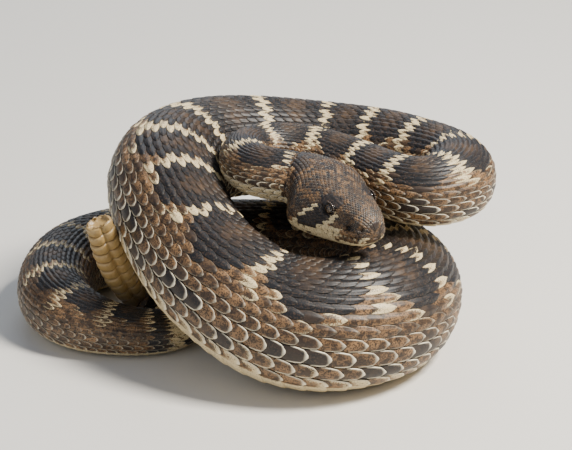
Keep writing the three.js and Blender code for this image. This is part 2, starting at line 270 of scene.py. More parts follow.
def headSection(back, angle):
    # Out and up of the head's surface at an angle from the crown, in degrees
    at = back * headShape["formLength"] / headLength
    wide = eased(headShape["form"], at, 1)
    high = eased(headShape["form"], at, 2)
    deep = eased(headShape["form"], at, 3)
    rear = smooth(44, 60, at)
    closed = 1 - smooth(headShape["mouthEnd"] - 8, headShape["mouthEnd"], at)
    mouth = eased(headShape["mouthLine"], at) * (1 - rear)
    power = 2 + 0.5 * (1 - rear) * smooth(0, 6, at)
    off = np.abs(angle)
    above = off <= 90
    a = np.radians(np.where(above, 90 - off, off - 90))
    ca = np.maximum(np.cos(a), 1e-9)
    sa = np.maximum(np.sin(a), 1e-9)
    outUpper = wide * ca ** (2 / power)
    upUpper = -mouth + (high + mouth) * sa ** (2 / power)
    jaw = 0.965 + 0.035 * rear
    outLower = wide * jaw * ca ** (0.85 + 0.15 * rear)
    upLower = -mouth - (deep - mouth) * sa ** (0.9 - 0.04 * rear) - 0.35 * closed
    out = np.where(above, outUpper, outLower)
    up = np.where(above, upUpper, upLower)
    sunk = np.zeros_like(out + back)
    for spot in headShape["relief"]:
        sunk = sunk + spot[4] * np.exp(-(fromHollow(back, angle, spot) ** 2))
    reach = np.maximum(np.hypot(out, up + mouth), 1e-6)
    out = out * (1 - sunk / reach)
    up = -mouth + (up + mouth) * (1 - sunk / reach)
    return out * np.sign(angle + 1e-12), up, closed


def bodySection(s, angle):
    r = eased(snakeForm["girth"], s)
    c = np.cos(np.radians(angle))
    out = r * snakeForm["wide"] * np.sin(np.radians(angle))
    low = -r * snakeForm["deep"] * np.abs(c) ** 0.86
    return out, np.where(c > 0, r * snakeForm["high"] * c, low)


def surface(q, angle):
    # A point of the snake's outer surface, q back from the snout and angle round from the crown
    q, angle = np.broadcast_arrays(np.asarray(q, float), (np.asarray(angle, float) + 180) % 360 - 180)
    onHead = q < headLength
    back = np.clip(q, 0.05, headLength)
    s = np.clip(q - headLength, 0, bodyLength)
    outH, upH, _ = headSection(back, angle)
    outB, upB = bodySection(s, angle)
    pick = onHead[..., None]
    pairs = (("middle", "middle"), ("left", "side"), ("up", "back"))
    middle, across, upward = (np.where(pick, lookUp(head[h], back), lookUp(body[b], s)) for h, b in pairs)
    out = np.where(onHead, outH, outB)[..., None]
    up = np.where(onHead, upH, upB)[..., None]
    return middle + across * out + upward * up


def surfaceNormal(q, angle):
    dq = surface(q + 0.35, angle) - surface(np.maximum(q - 0.35, 0.05), angle)
    da = surface(q, angle + 0.8) - surface(q, angle - 0.8)
    n = unit(np.cross(dq, da))
    middle = surface(q, 0.0) * 0.5 + surface(q, 180.0) * 0.5
    facing = np.sum(n * (surface(q, angle) - middle), axis=-1, keepdims=True)
    return np.where(facing < 0, -n, n)


def raised(q, angle, lift):
    # A point above or below the surface, kept off the ground, in millimetres
    p = surface(q, angle) + surfaceNormal(q, angle) * np.asarray(lift)[..., None]
    p[..., 2] = np.maximum(p[..., 2], 0.02)
    return p


def inFrame(p):
    return (np.asarray(p) - originPoint) * mm


def skinDepth(q):
    # The skin lies deeper where the scales over it are thicker
    return coatDepth * (0.42 + 0.58 * smooth(42, 62, q))


# Millimetres of body to a row of scales: the least, and more for each millimetre of girth
rowForm = {"least": 2.2, "byGirth": 0.13}


def rowPitch(s):
    return rowForm["least"] + rowForm["byGirth"] * eased(snakeForm["girth"], s)


# Rows of scales, counted from the back of the head, with one belly plate to each
rowGrid = np.arange(-70, bodyLength + 1, 0.5)
rowAt = np.concatenate([[0], np.cumsum(0.5 / rowPitch(np.clip((rowGrid[:-1] + rowGrid[1:]) / 2, 0, None)))])
rowAt -= np.interp(0, rowGrid, rowAt)


def rowOf(s):
    return np.interp(s, rowGrid, rowAt)


def placeOfRow(row):
    return np.interp(row, rowAt, rowGrid)


# Colours

marking = {
    # distances from the head at which a pale bar crosses the back
    "bars": [
        -30, -4, 22, 46, 69, 92, 116, 140, 164, 188, 213, 235, 268, 306, 328, 350, 380, 421, 469, 496,
        526, 556, 584, 611, 637, 662, 686, 708, 728, 748, 768, 787, 806, 830, 870,
    ],
    # millimetres of half a bar, and the degrees from the crown between which it ends
    "barWide": 1.8,
    "barEnds": (52, 64),
    # degrees from the crown that a diamond reaches
    "diamondWide": 62,
    # where along the body the pattern starts and ends its fading
    "fading": (560, 690),
    # degrees from the crown and reach of the two rows of dark spots on the flank
    "sideSpots": (88, 15),
    "lowSpots": (108, 11),
    # degrees between which the clouds of the flank come and go, and the cream of the belly sets in
    "flank": (40, 60, 100, 118),
    "creamFrom": (94, 122),
    "tailRingsFrom": 806,
    "tailRingLong": 12.5,
}


def bodyMarks(s, angle, stir):
    # How dark, pale and rimmed the coat is, by distance along and degrees round
    m = marking
    off = np.abs(angle)
    phase = np.interp(s, m["bars"], np.arange(len(m["bars"])))
    near = phase - np.round(phase)
    spacing = np.interp(phase, np.arange(len(m["bars"]) - 1) + 0.5, np.diff(m["bars"]))
    fromBar = (np.abs(near) * spacing + stir * 0.5) / m["barWide"]
    frac = np.abs(near) * 2
    faded = smooth(*m["fading"], s)
    wide = m["diamondWide"] * (0.42 + 0.58 * frac**0.7) * (1 - 0.28 * faded)
    inside = off / np.maximum(wide, 1) + stir * 0.06
    dark = (1 - smooth(0.94, 1.02, inside)) * smooth(0.75, 1.15, fromBar)
    heart = (1 - smooth(0.25, 0.6, inside)) * smooth(0.5, 0.85, frac)
    dark = dark * (1 - 0.3 * heart)
    pale = (1 - smooth(0.9, 1.25, fromBar)) * (1 - smooth(*m["barEnds"], off)) * (0.82 + 0.12 * stir)
    border = smooth(0.98, 1.02, inside) * (1 - smooth(1.1, 1.16, inside)) * np.clip(0.2 + 0.45 * stir, 0, 1)
    pale = np.maximum(pale, border * (1 - smooth(0.7, 0.95, frac) * 0.4))
    for name, along, strength, loss, end in (
        ("sideSpots", (1 - frac) / 0.5, 0.9, 0.55, 1.05), ("lowSpots", frac / 0.4, 0.85, 0.6, 1.1),
    ):
        fromSpot = along + np.abs(off - m[name][0]) / m[name][1] + stir * 0.15
        dark = np.maximum(dark, (strength - loss * faded) * (1 - smooth(0.8, end, fromSpot)))
    top, upper, lower, bottom = m["flank"]
    clouded = smooth(top, upper, off) * (1 - smooth(lower, bottom, off)) * (0.5 + 0.5 * stir)
    dark = np.maximum(dark, 0.24 * clouded)
    pale = pale * (1 - 0.45 * faded)
    dark = np.maximum(dark, 0.35 * faded * (1 - pale) * (1 - smooth(46, 62, off)))
    cream = smooth(*m["creamFrom"], off) * np.clip(0.46 + 0.44 * stir, 0, 1)
    cream = cream * (1 - faded) * (1 - 0.7 * dark)
    throat = (1 - smooth(55, 95, s)) * smooth(84, 102, off) * 0.9
    pale = np.maximum(pale, np.maximum(cream, throat))
    dark = dark * (1 - throat)
    rim = (0.08 + 0.92 * smooth(60, 100, off)) * (1 - 0.8 * dark * (1 - smooth(56, 74, off)))
    rim = rim * (1 - 0.5 * faded)
    ringed = smooth(m["tailRingsFrom"] - 1, m["tailRingsFrom"] + 1, s)
    ring = ((s - m["tailRingsFrom"]) / m["tailRingLong"]) % 1.0
    black = 1 - smooth(0.5, 0.58, ring)
    dark = dark * (1 - ringed) + black * ringed
    pale = pale * (1 - ringed) + (1 - black) * ringed * 0.85
    return dark, pale, rim


headMarking = {
    # degrees from the crown, and the distance back of each pale line there
    "rearLine": ([50, 55, 68, 80, 89, 100], [25.2, 26.6, 29.2, 31.8, 35.5, 40]),
    "frontLine": ([50, 57, 73, 84, 92], [16.2, 16.6, 18.2, 20.8, 23.2]),
    # millimetres from the middle of a line at which it ends
    "rearWide": (0.85, 1.15),
    "frontWide": 0.9,
    # degrees from the crown at which the pale lips and the pale throat set in
    "lipFrom": 83.5,
    "throatFrom": (100, 118),
    # middle and half sizes of the dark patch over the eye, in distance back and degrees
    "brow": (20.5, 36, 5.2, 15),
}


def headMarks(back, angle, stir):
    # The dark band from the eye to the angle of the jaw, between its two pale lines
    m = headMarking
    off = np.abs(angle)
    rearLine = np.interp(off, *m["rearLine"])
    frontLine = np.interp(off, *m["frontLine"])
    onSide = smooth(50, 55, off)
    rear = 1 - smooth(*m["rearWide"], np.abs(back - rearLine + stir * 0.1))
    rear = rear * onSide * (1 - smooth(92, 97, off))
    frontWide = m["frontWide"] + 0.5 * smooth(60, 90, off)
    front = 1 - smooth(frontWide, frontWide + 0.4, np.abs(back - frontLine + stir * 0.15))
    front = front * smooth(54, 60, off) * (1 - smooth(88, 93, off)) * 0.9
    lipFrom = m["lipFrom"] + 5 * smooth(21, 26, back)
    aboveChin = 1 - smooth(98, 104, off)
    lips = smooth(lipFrom, lipFrom + 3, off) * aboveChin * smooth(11, 17, back) * 1.1
    lips = lips + smooth(82, 86, off) * aboveChin * (1 - smooth(13, 20, back)) * (0.5 + 0.4 * stir)
    band = smooth(frontLine, frontLine + 1.4, back) * onSide
    band = band * (1 - smooth(rearLine - 1.3, rearLine - 0.5, back))
    throat = smooth(*m["throatFrom"], off) * 0.95
    pale = np.maximum(np.maximum(rear, front), np.maximum(lips * 0.9, throat))
    pale = pale * (1 - 0.75 * (1 - smooth(88, 92, off)) * band * (1 - rear) * (1 - front) * (1 - lips))
    dark = band * 0.95 * (1 - pale)
    crown = (1 - smooth(70, 84, off)) * np.clip(0.6 + 0.5 * stir, 0, 1)
    atBack, atAngle, long, wide = m["brow"]
    brow = 1 - smooth(0.7, 1.1, np.hypot((back - atBack) / long, (off - atAngle) / wide))
    crown = np.maximum(crown, 0.95 * brow)
    dark = np.maximum(dark, crown * (1 - pale))
    # Painted shade: the nostrils and pits are drawn dark inside their hollows
    for spot in headShape["relief"][:2]:
        holeShade = 1 - smooth(0.7, 1.1, fromHollow(back, angle, spot))
        dark = np.maximum(dark, holeShade)
        pale = pale * (1 - holeShade)
    rim = (0.3 + 0.25 * stir) * (1 - band) * (1 - brow)
    return np.clip(dark, 0, 1), np.clip(pale, 0, 1), np.clip(rim, 0, 1)


def marksAt(q, angle, stir):
    bodySet = bodyMarks(np.clip(q - headLength, -20, bodyLength), angle, stir)
    headSet = headMarks(np.clip(q, 0.3, headLength), angle, stir)
    blend = smooth(headLength - 16, headLength - 4, q)
    return [h * (1 - blend) + b * blend for h, b in zip(headSet, bodySet)]


bakeStrips = 6
bakeShare = 0.98


def bakePlace(q, angle):
    # The unwrap of the skin: even strips along the snake, laid one above another
    along = np.clip(q / wholeLength, 0, 0.99999) * bakeStrips
    strip = np.floor(along)
    return (along - strip) * bakeShare + (1 - bakeShare) / 2, (strip + 0.5 + angle / 368) / bakeStrips


# Mesh helpers


def select(obj):
    bpy.ops.object.select_all(action="DESELECT")
    obj.select_set(True)
    bpy.context.view_layer.objects.active = obj


def facesOut(obj):
    select(obj)
    bpy.ops.object.mode_set(mode="EDIT")
    bpy.ops.mesh.select_all(action="SELECT")
    bpy.ops.mesh.normals_make_consistent(inside=False)
    bpy.ops.object.mode_set(mode="OBJECT")


def borderOf(index):
    # The points round a grid, in order
    return list(index[0, :]) + list(index[1:, -1]) + list(index[-1, -2::-1]) + list(index[-2:0:-1, 0])


def padFaces(index, border, low):
    # Quads over a grid of points, walls from its border to the low points, and the underside
    faces = []
    for a in range(len(index) - 1):
        for b in range(len(index[0]) - 1):
            faces.append([index[a, b], index[a + 1, b], index[a + 1, b + 1], index[a, b + 1]])
    for a in range(len(border)):
        b = (a + 1) % len(border)
        faces.append([border[a], border[b], low[b], low[a]])
    return faces + [low[::-1]]


def tubeFaces(rows, sides):
    # Quads between rings of points
    faces = []
    for i in range(rows - 1):
        for k in range(sides):
            n = (k + 1) % sides
            faces.append([i * sides + k, i * sides + n, (i + 1) * sides + n, (i + 1) * sides + k])
    return faces


def cornersOf(faces, pointCount=0, copies=1):
    # Corners of one copy, then corners and face sizes of all copies
    one = np.fromiter((c for f in faces for c in f), dtype=np.int64)
    corners = (one[None, :] + (np.arange(copies) * pointCount)[:, None]).ravel()
    return one, corners, np.tile([len(f) for f in faces], copies)


def startsOf(sizes):
    return np.concatenate([[0], np.cumsum(sizes)[:-1]])


def meshPiece(name, points, corners, sizes, uv, marks, edge=None):
    # points in millimetres, uv by corner, marks and edge by point
    mesh = bpy.data.meshes.new(name)
    mesh.vertices.add(len(points))
    mesh.vertices.foreach_set("co", inFrame(points).astype(np.float32).ravel())
    mesh.loops.add(len(corners))
    mesh.loops.foreach_set("vertex_index", corners.astype(np.int32))
    mesh.polygons.add(len(sizes))
    mesh.polygons.foreach_set("loop_start", startsOf(sizes).astype(np.int32))
    mesh.polygons.foreach_set("use_smooth", np.full(len(sizes), True))
    mesh.update(calc_edges=True)
    mesh.validate()
    layer = mesh.uv_layers.new(name="OFBake")
    layer.data.foreach_set("uv", np.asarray(uv, np.float32).ravel())
    layer = mesh.attributes.new("marks", "FLOAT_COLOR", "POINT")
    layer.data.foreach_set("color", np.asarray(marks, np.float32).ravel())
    if edge is not None:
        layer = mesh.attributes.new("edge", "FLOAT", "POINT")
        layer.data.foreach_set("value", np.asarray(edge, np.float32).ravel())
    obj = bpy.data.objects.new(name, mesh)
    bpy.context.scene.collection.objects.link(obj)
    return obj


def marksColumn(dark, pale, rim, tone):
    return np.stack(np.broadcast_arrays(dark, pale, rim, tone), -1).reshape(-1, 4)


def ball(segments, rings, radius=1.0):
    bpy.ops.object.select_all(action="DESELECT")
    bpy.ops.mesh.primitive_uv_sphere_add(segments=segments, ring_count=rings, radius=radius)
    return bpy.context.object


def joined(parts, name):
    bpy.ops.object.select_all(action="DESELECT")
    for part in parts:
        part.select_set(True)
    bpy.context.view_layer.objects.active = parts[0]
    bpy.ops.object.join()
    obj = bpy.context.object
    obj.name = name
    bpy.ops.object.shade_smooth()
    return obj


def named(stem, side):
    return stem + ("_left" if side == 1 else "_right")


# Skin

skinShape = {
    "headStep": 0.55,
    "bodyStep": 1.6,
    "roundAngles": 5.0,
    "cheekAngles": [57.5, 62.5, 67.5, 72.5, 77.5, 82.5],
    "lipAngles": [86.5, 88.2, 89.2, 89.75, 90.0, 90.25, 90.8, 91.8, 93.5],
    "socketRoom": 0.1,
    "rim": 0.4,
    "tone": 0.35,
}


def headAxes(back):
    return [lookUp(head[name], back) for name in ("middle", "ahead", "left", "up")]


def eyeFrame(side):
    middle, ahead, left, up = headAxes(headShape["eyeBack"])
    centre = middle + left * side * headShape["eyeOut"] + up * headShape["eyeUp"]
    return centre, ahead, left * side, up


def makeSkin():
    half = [a for a in np.arange(0, 180.1, skinShape["roundAngles"]) if not 85.5 < a < 94.5]
    half = np.array(sorted(half + skinShape["cheekAngles"] + skinShape["lipAngles"]))
    angles = np.concatenate([half[:-1], -half[:0:-1]])
    places = np.concatenate([
        np.arange(0.4, headLength, skinShape["headStep"]),
        np.arange(headLength, wholeLength - 0.5, skinShape["bodyStep"]),
        [wholeLength - 0.2],
    ])
    q, angle = np.meshgrid(places, angles, indexing="ij")
    points = raised(q, angle, -skinDepth(q))
    _, _, closed = headSection(np.clip(q, 0.4, headLength), angle)
    onHead = q < headLength
    groove = np.where((np.abs(angle) == 90.0) & onHead, headShape["mouthDeep"] * closed, 0)
    points -= surfaceNormal(q, angle) * groove[..., None]
    # The sockets of the eyes
    cup = headShape["eyeRadius"] + skinShape["socketRoom"]
    for side in (1, -1):
        centre, ahead, out, up = eyeFrame(side)
        rel = points - centre
        x, y, z = rel @ ahead, rel @ out, rel @ up
        flat = np.hypot(x, z)
        wall = -np.sqrt(np.maximum(cup**2 - flat**2, 0))
        inside = (flat < cup) & (y > wall) & (y > -cup) & onHead
        sunk = (wall - y) * smooth(cup, cup * 0.93, flat)
        points = np.where(inside[..., None], points + out * sunk[..., None], points)
    rows, sides = q.shape
    count = q.size
    allPoints = np.vstack([points.reshape(-1, 3), points[0].mean(0), points[-1].mean(0)])
    faces = [f[::-1] for f in tubeFaces(rows, sides)]
    last = count - sides
    for a in range(sides):
        b = (a + 1) % sides
        faces.append([a, b, count])
        faces.append([last + b, last + a, count + 1])
    dark, pale, rim = marksAt(q, angle, np.zeros_like(q))
    # Painted shade: the mouth line is drawn dark along its groove
    creaseShade = (1 - smooth(1.0, 2.4, np.abs(np.abs(angle) - 90))) * closed * onHead
    dark = np.maximum(dark, creaseShade)
    marks = marksColumn(dark, pale * (1 - creaseShade), rim * skinShape["rim"], skinShape["tone"])
    marks = np.vstack([marks, marks[:1], marks[-1:]])
    _, corners, sizes = cornersOf(faces)
    faceOf = np.repeat(np.arange(len(faces)), sizes)
    cornerQ = np.append(q, [places[0], places[-1]])[corners]
    cornerAngle = np.append(angle, [0, 0])[corners]
    # A face that crosses the middle of the belly is kept in one piece in the unwrap
    meanAngle = (np.bincount(faceOf, cornerAngle) / sizes)[faceOf]
    wrapped = (np.abs(cornerAngle - meanAngle) > 100) | (cornerAngle == 180)
    wrapped &= (cornerAngle > 0) & (meanAngle < 90)
    cornerAngle = np.where(wrapped, cornerAngle - 360, cornerAngle)
    firstQ = np.minimum.reduceat(cornerQ, startsOf(sizes))[faceOf]
    u, v = bakePlace(firstQ + 0.01, cornerAngle)
    u = u + (cornerQ - firstQ) / wholeLength * bakeStrips * bakeShare
    obj = meshPiece("skin", allPoints, corners, sizes, np.stack([u, v], -1), marks)
    facesOut(obj)
    return obj


# Scales

scaleForm = {
    "rows": [0.0, 0.24, 0.46, 0.68, 0.85, 0.95, 1.0],
    "across": [-1.0, -0.8, -0.4, 0.0, 0.4, 0.8, 1.0],
    "thick": 0.3,
    "undersideWide": 0.92,
    # how much single scales differ: twist, and share of the length
    "twist": 0.03,
    "lengthStir": 0.035,
    # height of a scale's patch in the unwrap for a width of one, and how much its underside spreads
    "patchHigh": 0.45,
    "patchSpread": 1.16,
}


def stackedScale(keel, crown, blunt, widest=0.5, root=0.6, rows=None, across=None, filled=0.0):
    # Points (u, v, h) of one scale, its faces, how near each point is to the free edge, and its unwrap
    u = np.array(rows or scaleForm["rows"])[:, None]
    v = np.array(across or scaleForm["across"])[None, :]
    swell = root + (1 - root) * np.sin(np.minimum(u / widest, 1) * np.pi / 2)
    past = np.clip((u - widest) / (1 - widest), 0, 1)
    half = np.where(u < widest, swell, np.maximum(1 - past**blunt, 0) ** (1 / blunt))
    uu = u - 0.05 * v**2 * smooth(0.75, 1.0, u)
    vv = np.maximum(half, 0.34) * v
    ridge = keel * np.exp(-((v / 0.2) ** 2)) * np.sin(np.minimum(1, u * 1.1) * np.pi * 0.62)
    hh = crown * (1 - v**2) + ridge - 0.16 * smooth(0.84, 1.0, u)
    top = np.stack([uu, vv, hh], -1).reshape(-1, 3)
    index = np.arange(uu.size).reshape(uu.shape)
    border = borderOf(index)
    low = top[border].copy()
    low[:, 2] = np.minimum(low[:, 2], 0) - scaleForm["thick"]
    low[:, 1] *= scaleForm["undersideWide"]
    faces = padFaces(index, border, list(range(len(top), len(top) + len(low))))
    sideways = np.abs(v) * smooth(0.25, 0.5, u)
    edge = np.maximum(sideways, np.clip((uu - 0.2) / 0.8, 0, 1) ** 1.5)
    edge = np.maximum(np.append(edge, np.ones(len(low))), filled)
    lowUv = np.stack([low[:, 0] - 0.5, low[:, 1] / scaleForm["undersideWide"]], -1)
    lowUv = lowUv * scaleForm["patchSpread"] + [0.5, 0]
    return np.vstack([top, low]), faces, edge, np.vstack([top[:, :2], lowUv])


def patches(q, angle, local, wide, high):
    # A small patch of the unwrap for each copy, round its place on the skin
    u, v = bakePlace(q, angle)
    return np.stack([u[:, None] + local[:, 0] * wide, v[:, None] + local[:, 1] * high], -1)


def layScales(
    name, places, template, relief, seed, stretch=1.0, rise=0.5, root=0.5, rimmed=1.0, patch=0.003,
):
    # Copies of one scale laid over the surface, every copy bent to it, as one joined mesh.
    # Each place holds distance back, degrees from the crown, length in mm and half width in degrees
    points, faces, edge, local = template
    q, angle, length, halfAngle = np.asarray(places, float).T
    count = len(q)
    rng = np.random.default_rng(seed)
    stir = rng.uniform(-1, 1, count)
    tone = rng.uniform(0, 1, count)
    twist = rng.normal(0, scaleForm["twist"], count)
    lengthStir = 1 + rng.normal(0, scaleForm["lengthStir"], count)
    u, v, h = points.T[:, None, :]
    long = (length * stretch * lengthStir)[:, None]
    atQ = q[:, None] + (u - root) * long + v * long * twist[:, None]
    atAngle = angle[:, None] + v * halfAngle[:, None]
    lift = 0.1 - skinDepth(atQ) + (rise * u + h) * np.asarray(relief)[..., None]
    placed = raised(atQ, atAngle, lift)
    dark, pale, rim = marksAt(q + root * 0.5 * long[:, 0], angle, stir)
    rim = np.clip(rim * rimmed * (0.6 + 0.8 * rng.uniform(0, 1, count)), 0, 1)
    marks = np.repeat(marksColumn(dark, pale, rim, tone), len(points), axis=0)
    one, corners, sizes = cornersOf(faces, len(points), count)
    # The underside has its place in a corner of the patch
    local = local[one]
    under = len(faces[-1])
    local[-under:] = (local[-under:] - [0.5, 0]) * 0.12 + [1.24, 1.0]
    uv = patches(q, angle, local - [0.5, 0], patch, patch * scaleForm["patchHigh"])
    return meshPiece(name, placed.reshape(-1, 3), corners, sizes, uv, marks, np.tile(edge, count))


coatForm = {
    # widths of the rows of scales from the middle of the back to the belly, each as a share
    "halfWidths": [2.05, 4.1, 4.1, 4.2, 4.4, 4.6, 4.9, 5.3, 5.8, 6.4, 7.2, 8.1, 8.8],
    "dorsalHalf": 128.0,
    "backRows": 9,
    "overlapAcross": {"back": 1.12, "flank": 1.0},
    "lengthRows": {"back": 1.85, "flank": 1.64},
    "scale": {
        "back": {"keel": 0.55, "crown": 0.25, "blunt": 2.2, "widest": 0.42},
        "flank": {"keel": 0.1, "crown": 0.4, "blunt": 2.7},
    },
    "seeds": {"back": 1, "flank": 10},
    "rise": 1.0,
    "root": 0.42,
    # height of a scale for each millimetre of girth, and its limits
    "relief": 0.03,
    "reliefLimits": (0.3, 0.95),
    "firstAt": -7.0,
    "endRoom": 1.5,
    "mostTriangles": 180000,
}


def rowAngles():
    # Middle angle and half width of each row of scales on one side
    widths = np.array(coatForm["halfWidths"])
    scaleTo = coatForm["dorsalHalf"] / widths.sum()
    ends = np.cumsum(widths) * scaleTo
    middles = np.concatenate([[0], (ends[:-1] + ends[1:]) / 2])
    halves = np.concatenate([[ends[0]], widths[1:] * scaleTo / 2])
    return middles, halves


def makeCoat():
    form = coatForm
    first = math.ceil(rowOf(form["firstAt"]))
    last = rowOf(bodyLength - form["endRoom"])
    sets = {"back": [], "flank": []}
    for k, (middle, half) in enumerate(zip(*rowAngles())):
        rows = np.arange(first + 0.5 * (k % 2), last, 1.0)
        same = np.ones(len(rows))
        group = "back" if k < form["backRows"] else "flank"
        for side in ((1, -1) if k else (1,)):
            sets[group].append(np.stack([rows, middle * side * same, half * same]))
    made = []
    for group, scale in form["scale"].items():
        template = stackedScale(**scale)
        rows, angle, half = np.concatenate(sets[group], axis=1)
        order = np.argsort(placeOfRow(rows), kind="stable")
        s = placeOfRow(rows)[order]
        places = np.stack([
            s + headLength,
            angle[order],
            rowPitch(s) * form["lengthRows"][group],
            half[order] * form["overlapAcross"][group],
        ], 1)
        relief = np.clip(form["relief"] * eased(snakeForm["girth"], s), *form["reliefLimits"])
        trianglesEach = sum(len(f) - 2 for f in template[1])
        parts = math.ceil(len(rows) * trianglesEach / form["mostTriangles"])
        for part, chosen in enumerate(np.array_split(np.arange(len(rows)), parts)):
            made.append(layScales(
                "scales_%s_%d" % (group, part + 1), places[chosen], template, relief[chosen],
                form["seeds"][group] + part, rise=form["rise"], root=form["root"],
            ))
    return made


bellyForm = {
    # places along a plate, and its height there
    "along": [0, 0.2, 0.5, 0.8, 0.94, 1.0],
    "hill": [0.0, 0.1, 0.22, 0.34, 0.36, 0.12],
    "pointsAcross": 17,
    # how far a plate's middle stands back, and its length, both in rows of scales
    "bow": 0.22,
    "overlap": 1.3,
    # degrees that a plate reaches under the lowest scales of the flank
    "underFlank": 3.0,
    "firstAt": -9.0,
    "endRoom": 2,
    "darkening": (600, 760),
    "patch": (0.012, 0.0045),
    "seed": 5,
}


def makeBellyPlates():
    # Wide plates across the belly, each with its free edge toward the tail
    form = bellyForm
    s = placeOfRow(np.arange(math.ceil(rowOf(form["firstAt"])), rowOf(bodyLength - form["endRoom"]), 1.0))
    onGrid = s[:, None, None]
    thick = eased(snakeForm["girth"], onGrid) / 30
    halfAngle = 180 - coatForm["dorsalHalf"] + form["underFlank"]
    uu, vv = np.meshgrid(form["along"], np.linspace(-1, 1, form["pointsAcross"]), indexing="ij")
    hill = np.array(form["hill"])[:, None]
    q = onGrid + headLength + (uu + form["bow"] * (1 - vv**2) - 0.3) * rowPitch(onGrid) * form["overlap"]
    angle = 180 + vv * halfAngle + np.zeros_like(q)
    top = raised(q, angle, 0.15 - skinDepth(q) + hill * (0.6 + 1.1 * thick))
    low = raised(q, angle, -skinDepth(q) - 0.25)
    count = len(s)
    size = uu.size
    points = np.concatenate([top.reshape(count, -1, 3), low.reshape(count, -1, 3)], 1)
    index = np.arange(size).reshape(uu.shape)
    border = borderOf(index)
    faces = padFaces(index, border, [c + size for c in border])
    faces = [f[:1] + f[:0:-1] for f in faces[:-1]] + [faces[-1][::-1]]
    one, corners, sizes = cornersOf(faces, 2 * size, count)
    rng = np.random.default_rng(form["seed"])
    tone = rng.uniform(0, 1, (count, 1, 1))
    ends = smooth(0.72, 0.98, np.abs(vv)) * (rng.uniform(0, 1, (count, 1, 1)) > 0.45)
    ringed = smooth(marking["tailRingsFrom"] - 1, marking["tailRingsFrom"] + 1, onGrid)
    dark = np.clip(0.12 * ends + 0.25 * ringed + 0.25 * smooth(*form["darkening"], onGrid), 0, 1)
    marks = np.tile(marksColumn(dark, 1 - dark, 0.0, tone).reshape(count, -1, 4), (1, 2, 1))
    spread = 1 + 0.12 * (np.arange(2 * size) >= size)[:, None]
    local = (np.tile(np.stack([uu - 0.5, vv], -1).reshape(-1, 2), (2, 1)) * spread)[one]
    under = len(faces[-1])
    local[-under:] = local[-under:] * [0.8, 0.08] + [0, 1.3]
    uv = patches(s + headLength, np.full(count, 150.0), local, *form["patch"])
    edge = np.ones(count * 2 * size)
    obj = meshPiece("belly_plates", points.reshape(-1, 3), corners, sizes, uv, marks, edge)
    facesOut(obj)
    return obj


# Head scales

crownForm = {
    # distance back, and the pitch of the scales there
    "pitch": [(3, 1.3), (14, 1.35), (30, 1.75), (52, 2.6)],
    "firstAt": 1.3, "endRoom": 6.0, "step": 0.78, "wide": 0.62, "mostHalf": 20,
    "eyeClear": 0.75,
    "lipHigh": 3.2,
    # relief of the scales between two pitches
    "relief": ([1.3, 3.0], [0.45, 0.75]),
    "scale": {
        "keel": 0.34, "crown": 0.3, "blunt": 2.4, "filled": 0.5,
        "rows": [0, 0.3, 0.6, 0.85, 1], "across": [-1, -0.55, 0, 0.55, 1],
    },
    "laying": {"seed": 21, "stretch": 1.45, "patch": 0.0014},
}

lipForm = {
    "pitch": ([0, 12, 30, 42], [2.2, 2.5, 2.9, 2.9]),
    "firstAt": 2.4,
    "end": 41,
    # millimetres of the middle of each row above the mouth
    "rows": (1.95, -1.9),
    "halfHigh": 1.5,
    "scale": {"keel": 0.0, "crown": 0.4, "blunt": 4.5, "widest": 0.3, "root": 0.86, "filled": 0.36},
    "laying": {"relief": 0.95, "seed": 31, "stretch": 1.04, "rise": 0.1, "rimmed": 0.3},
}

throatForm = {
    "pitch": 3.4,
    "firstAt": 5.0, "endRoom": 4, "step": 0.8, "wide": 0.6, "mostHalf": 24,
    "lipRoom": 2.6,
    "scale": {"keel": 0.0, "crown": 0.3, "blunt": 2.6, "filled": 0.5},
    "laying": {"relief": 0.7, "seed": 41, "stretch": 1.4, "rise": 0.4, "rimmed": 0.5},
}

browForm = {
    # distance back, degrees from the crown, and the half sizes of the oval in these
    "back": 21.0, "angle": 38.0, "long": 5.2, "round": 14.0,
    "thick": 0.9,
    "dome": 0.34,
    "sunk": 0.12,
    "overhang": 0.6,
    "marks": (0.97, 0.0, 0.0, 0.15),
}

angleGrid = np.arange(0, 181, 1.0)


def arcTable(back):
    # Distance over the head's surface from the crown to each whole degree
    return lengthsAlong(surface(back, angleGrid))


def degreesFor(width, angle, arc):
    # How many degrees round the head a width in millimetres takes up
    perDegree = (np.interp(angle + 2, angleGrid, arc) - np.interp(angle - 2, angleGrid, arc)) / 4
    return width / max(0.05, perDegree)


def staggeredPlaces(form, acrossAt):
    # Rows of small scales, every second row set off by half a scale, on both sides.
    # acrossAt gives the pitch of a row, where it starts, which way it goes and how far
    places = []
    back = form["firstAt"]
    number = 0
    while back < headLength - form["endRoom"]:
        arc = arcTable(back)
        pitch, start, way, room = acrossAt(back, arc)
        for x in np.arange(0.5 * (number % 2), room / pitch, 1.0) * pitch:
            angle = float(np.interp(start + way * x, arc, angleGrid))
            half = min(form["mostHalf"], degreesFor(pitch * form["wide"], angle, arc))
            for side in ((1, -1) if x >= 0.1 else (1,)):
                places.append((back, angle * side, pitch, half))
        back += pitch * form["step"]
        number += 1
    return np.array(places)


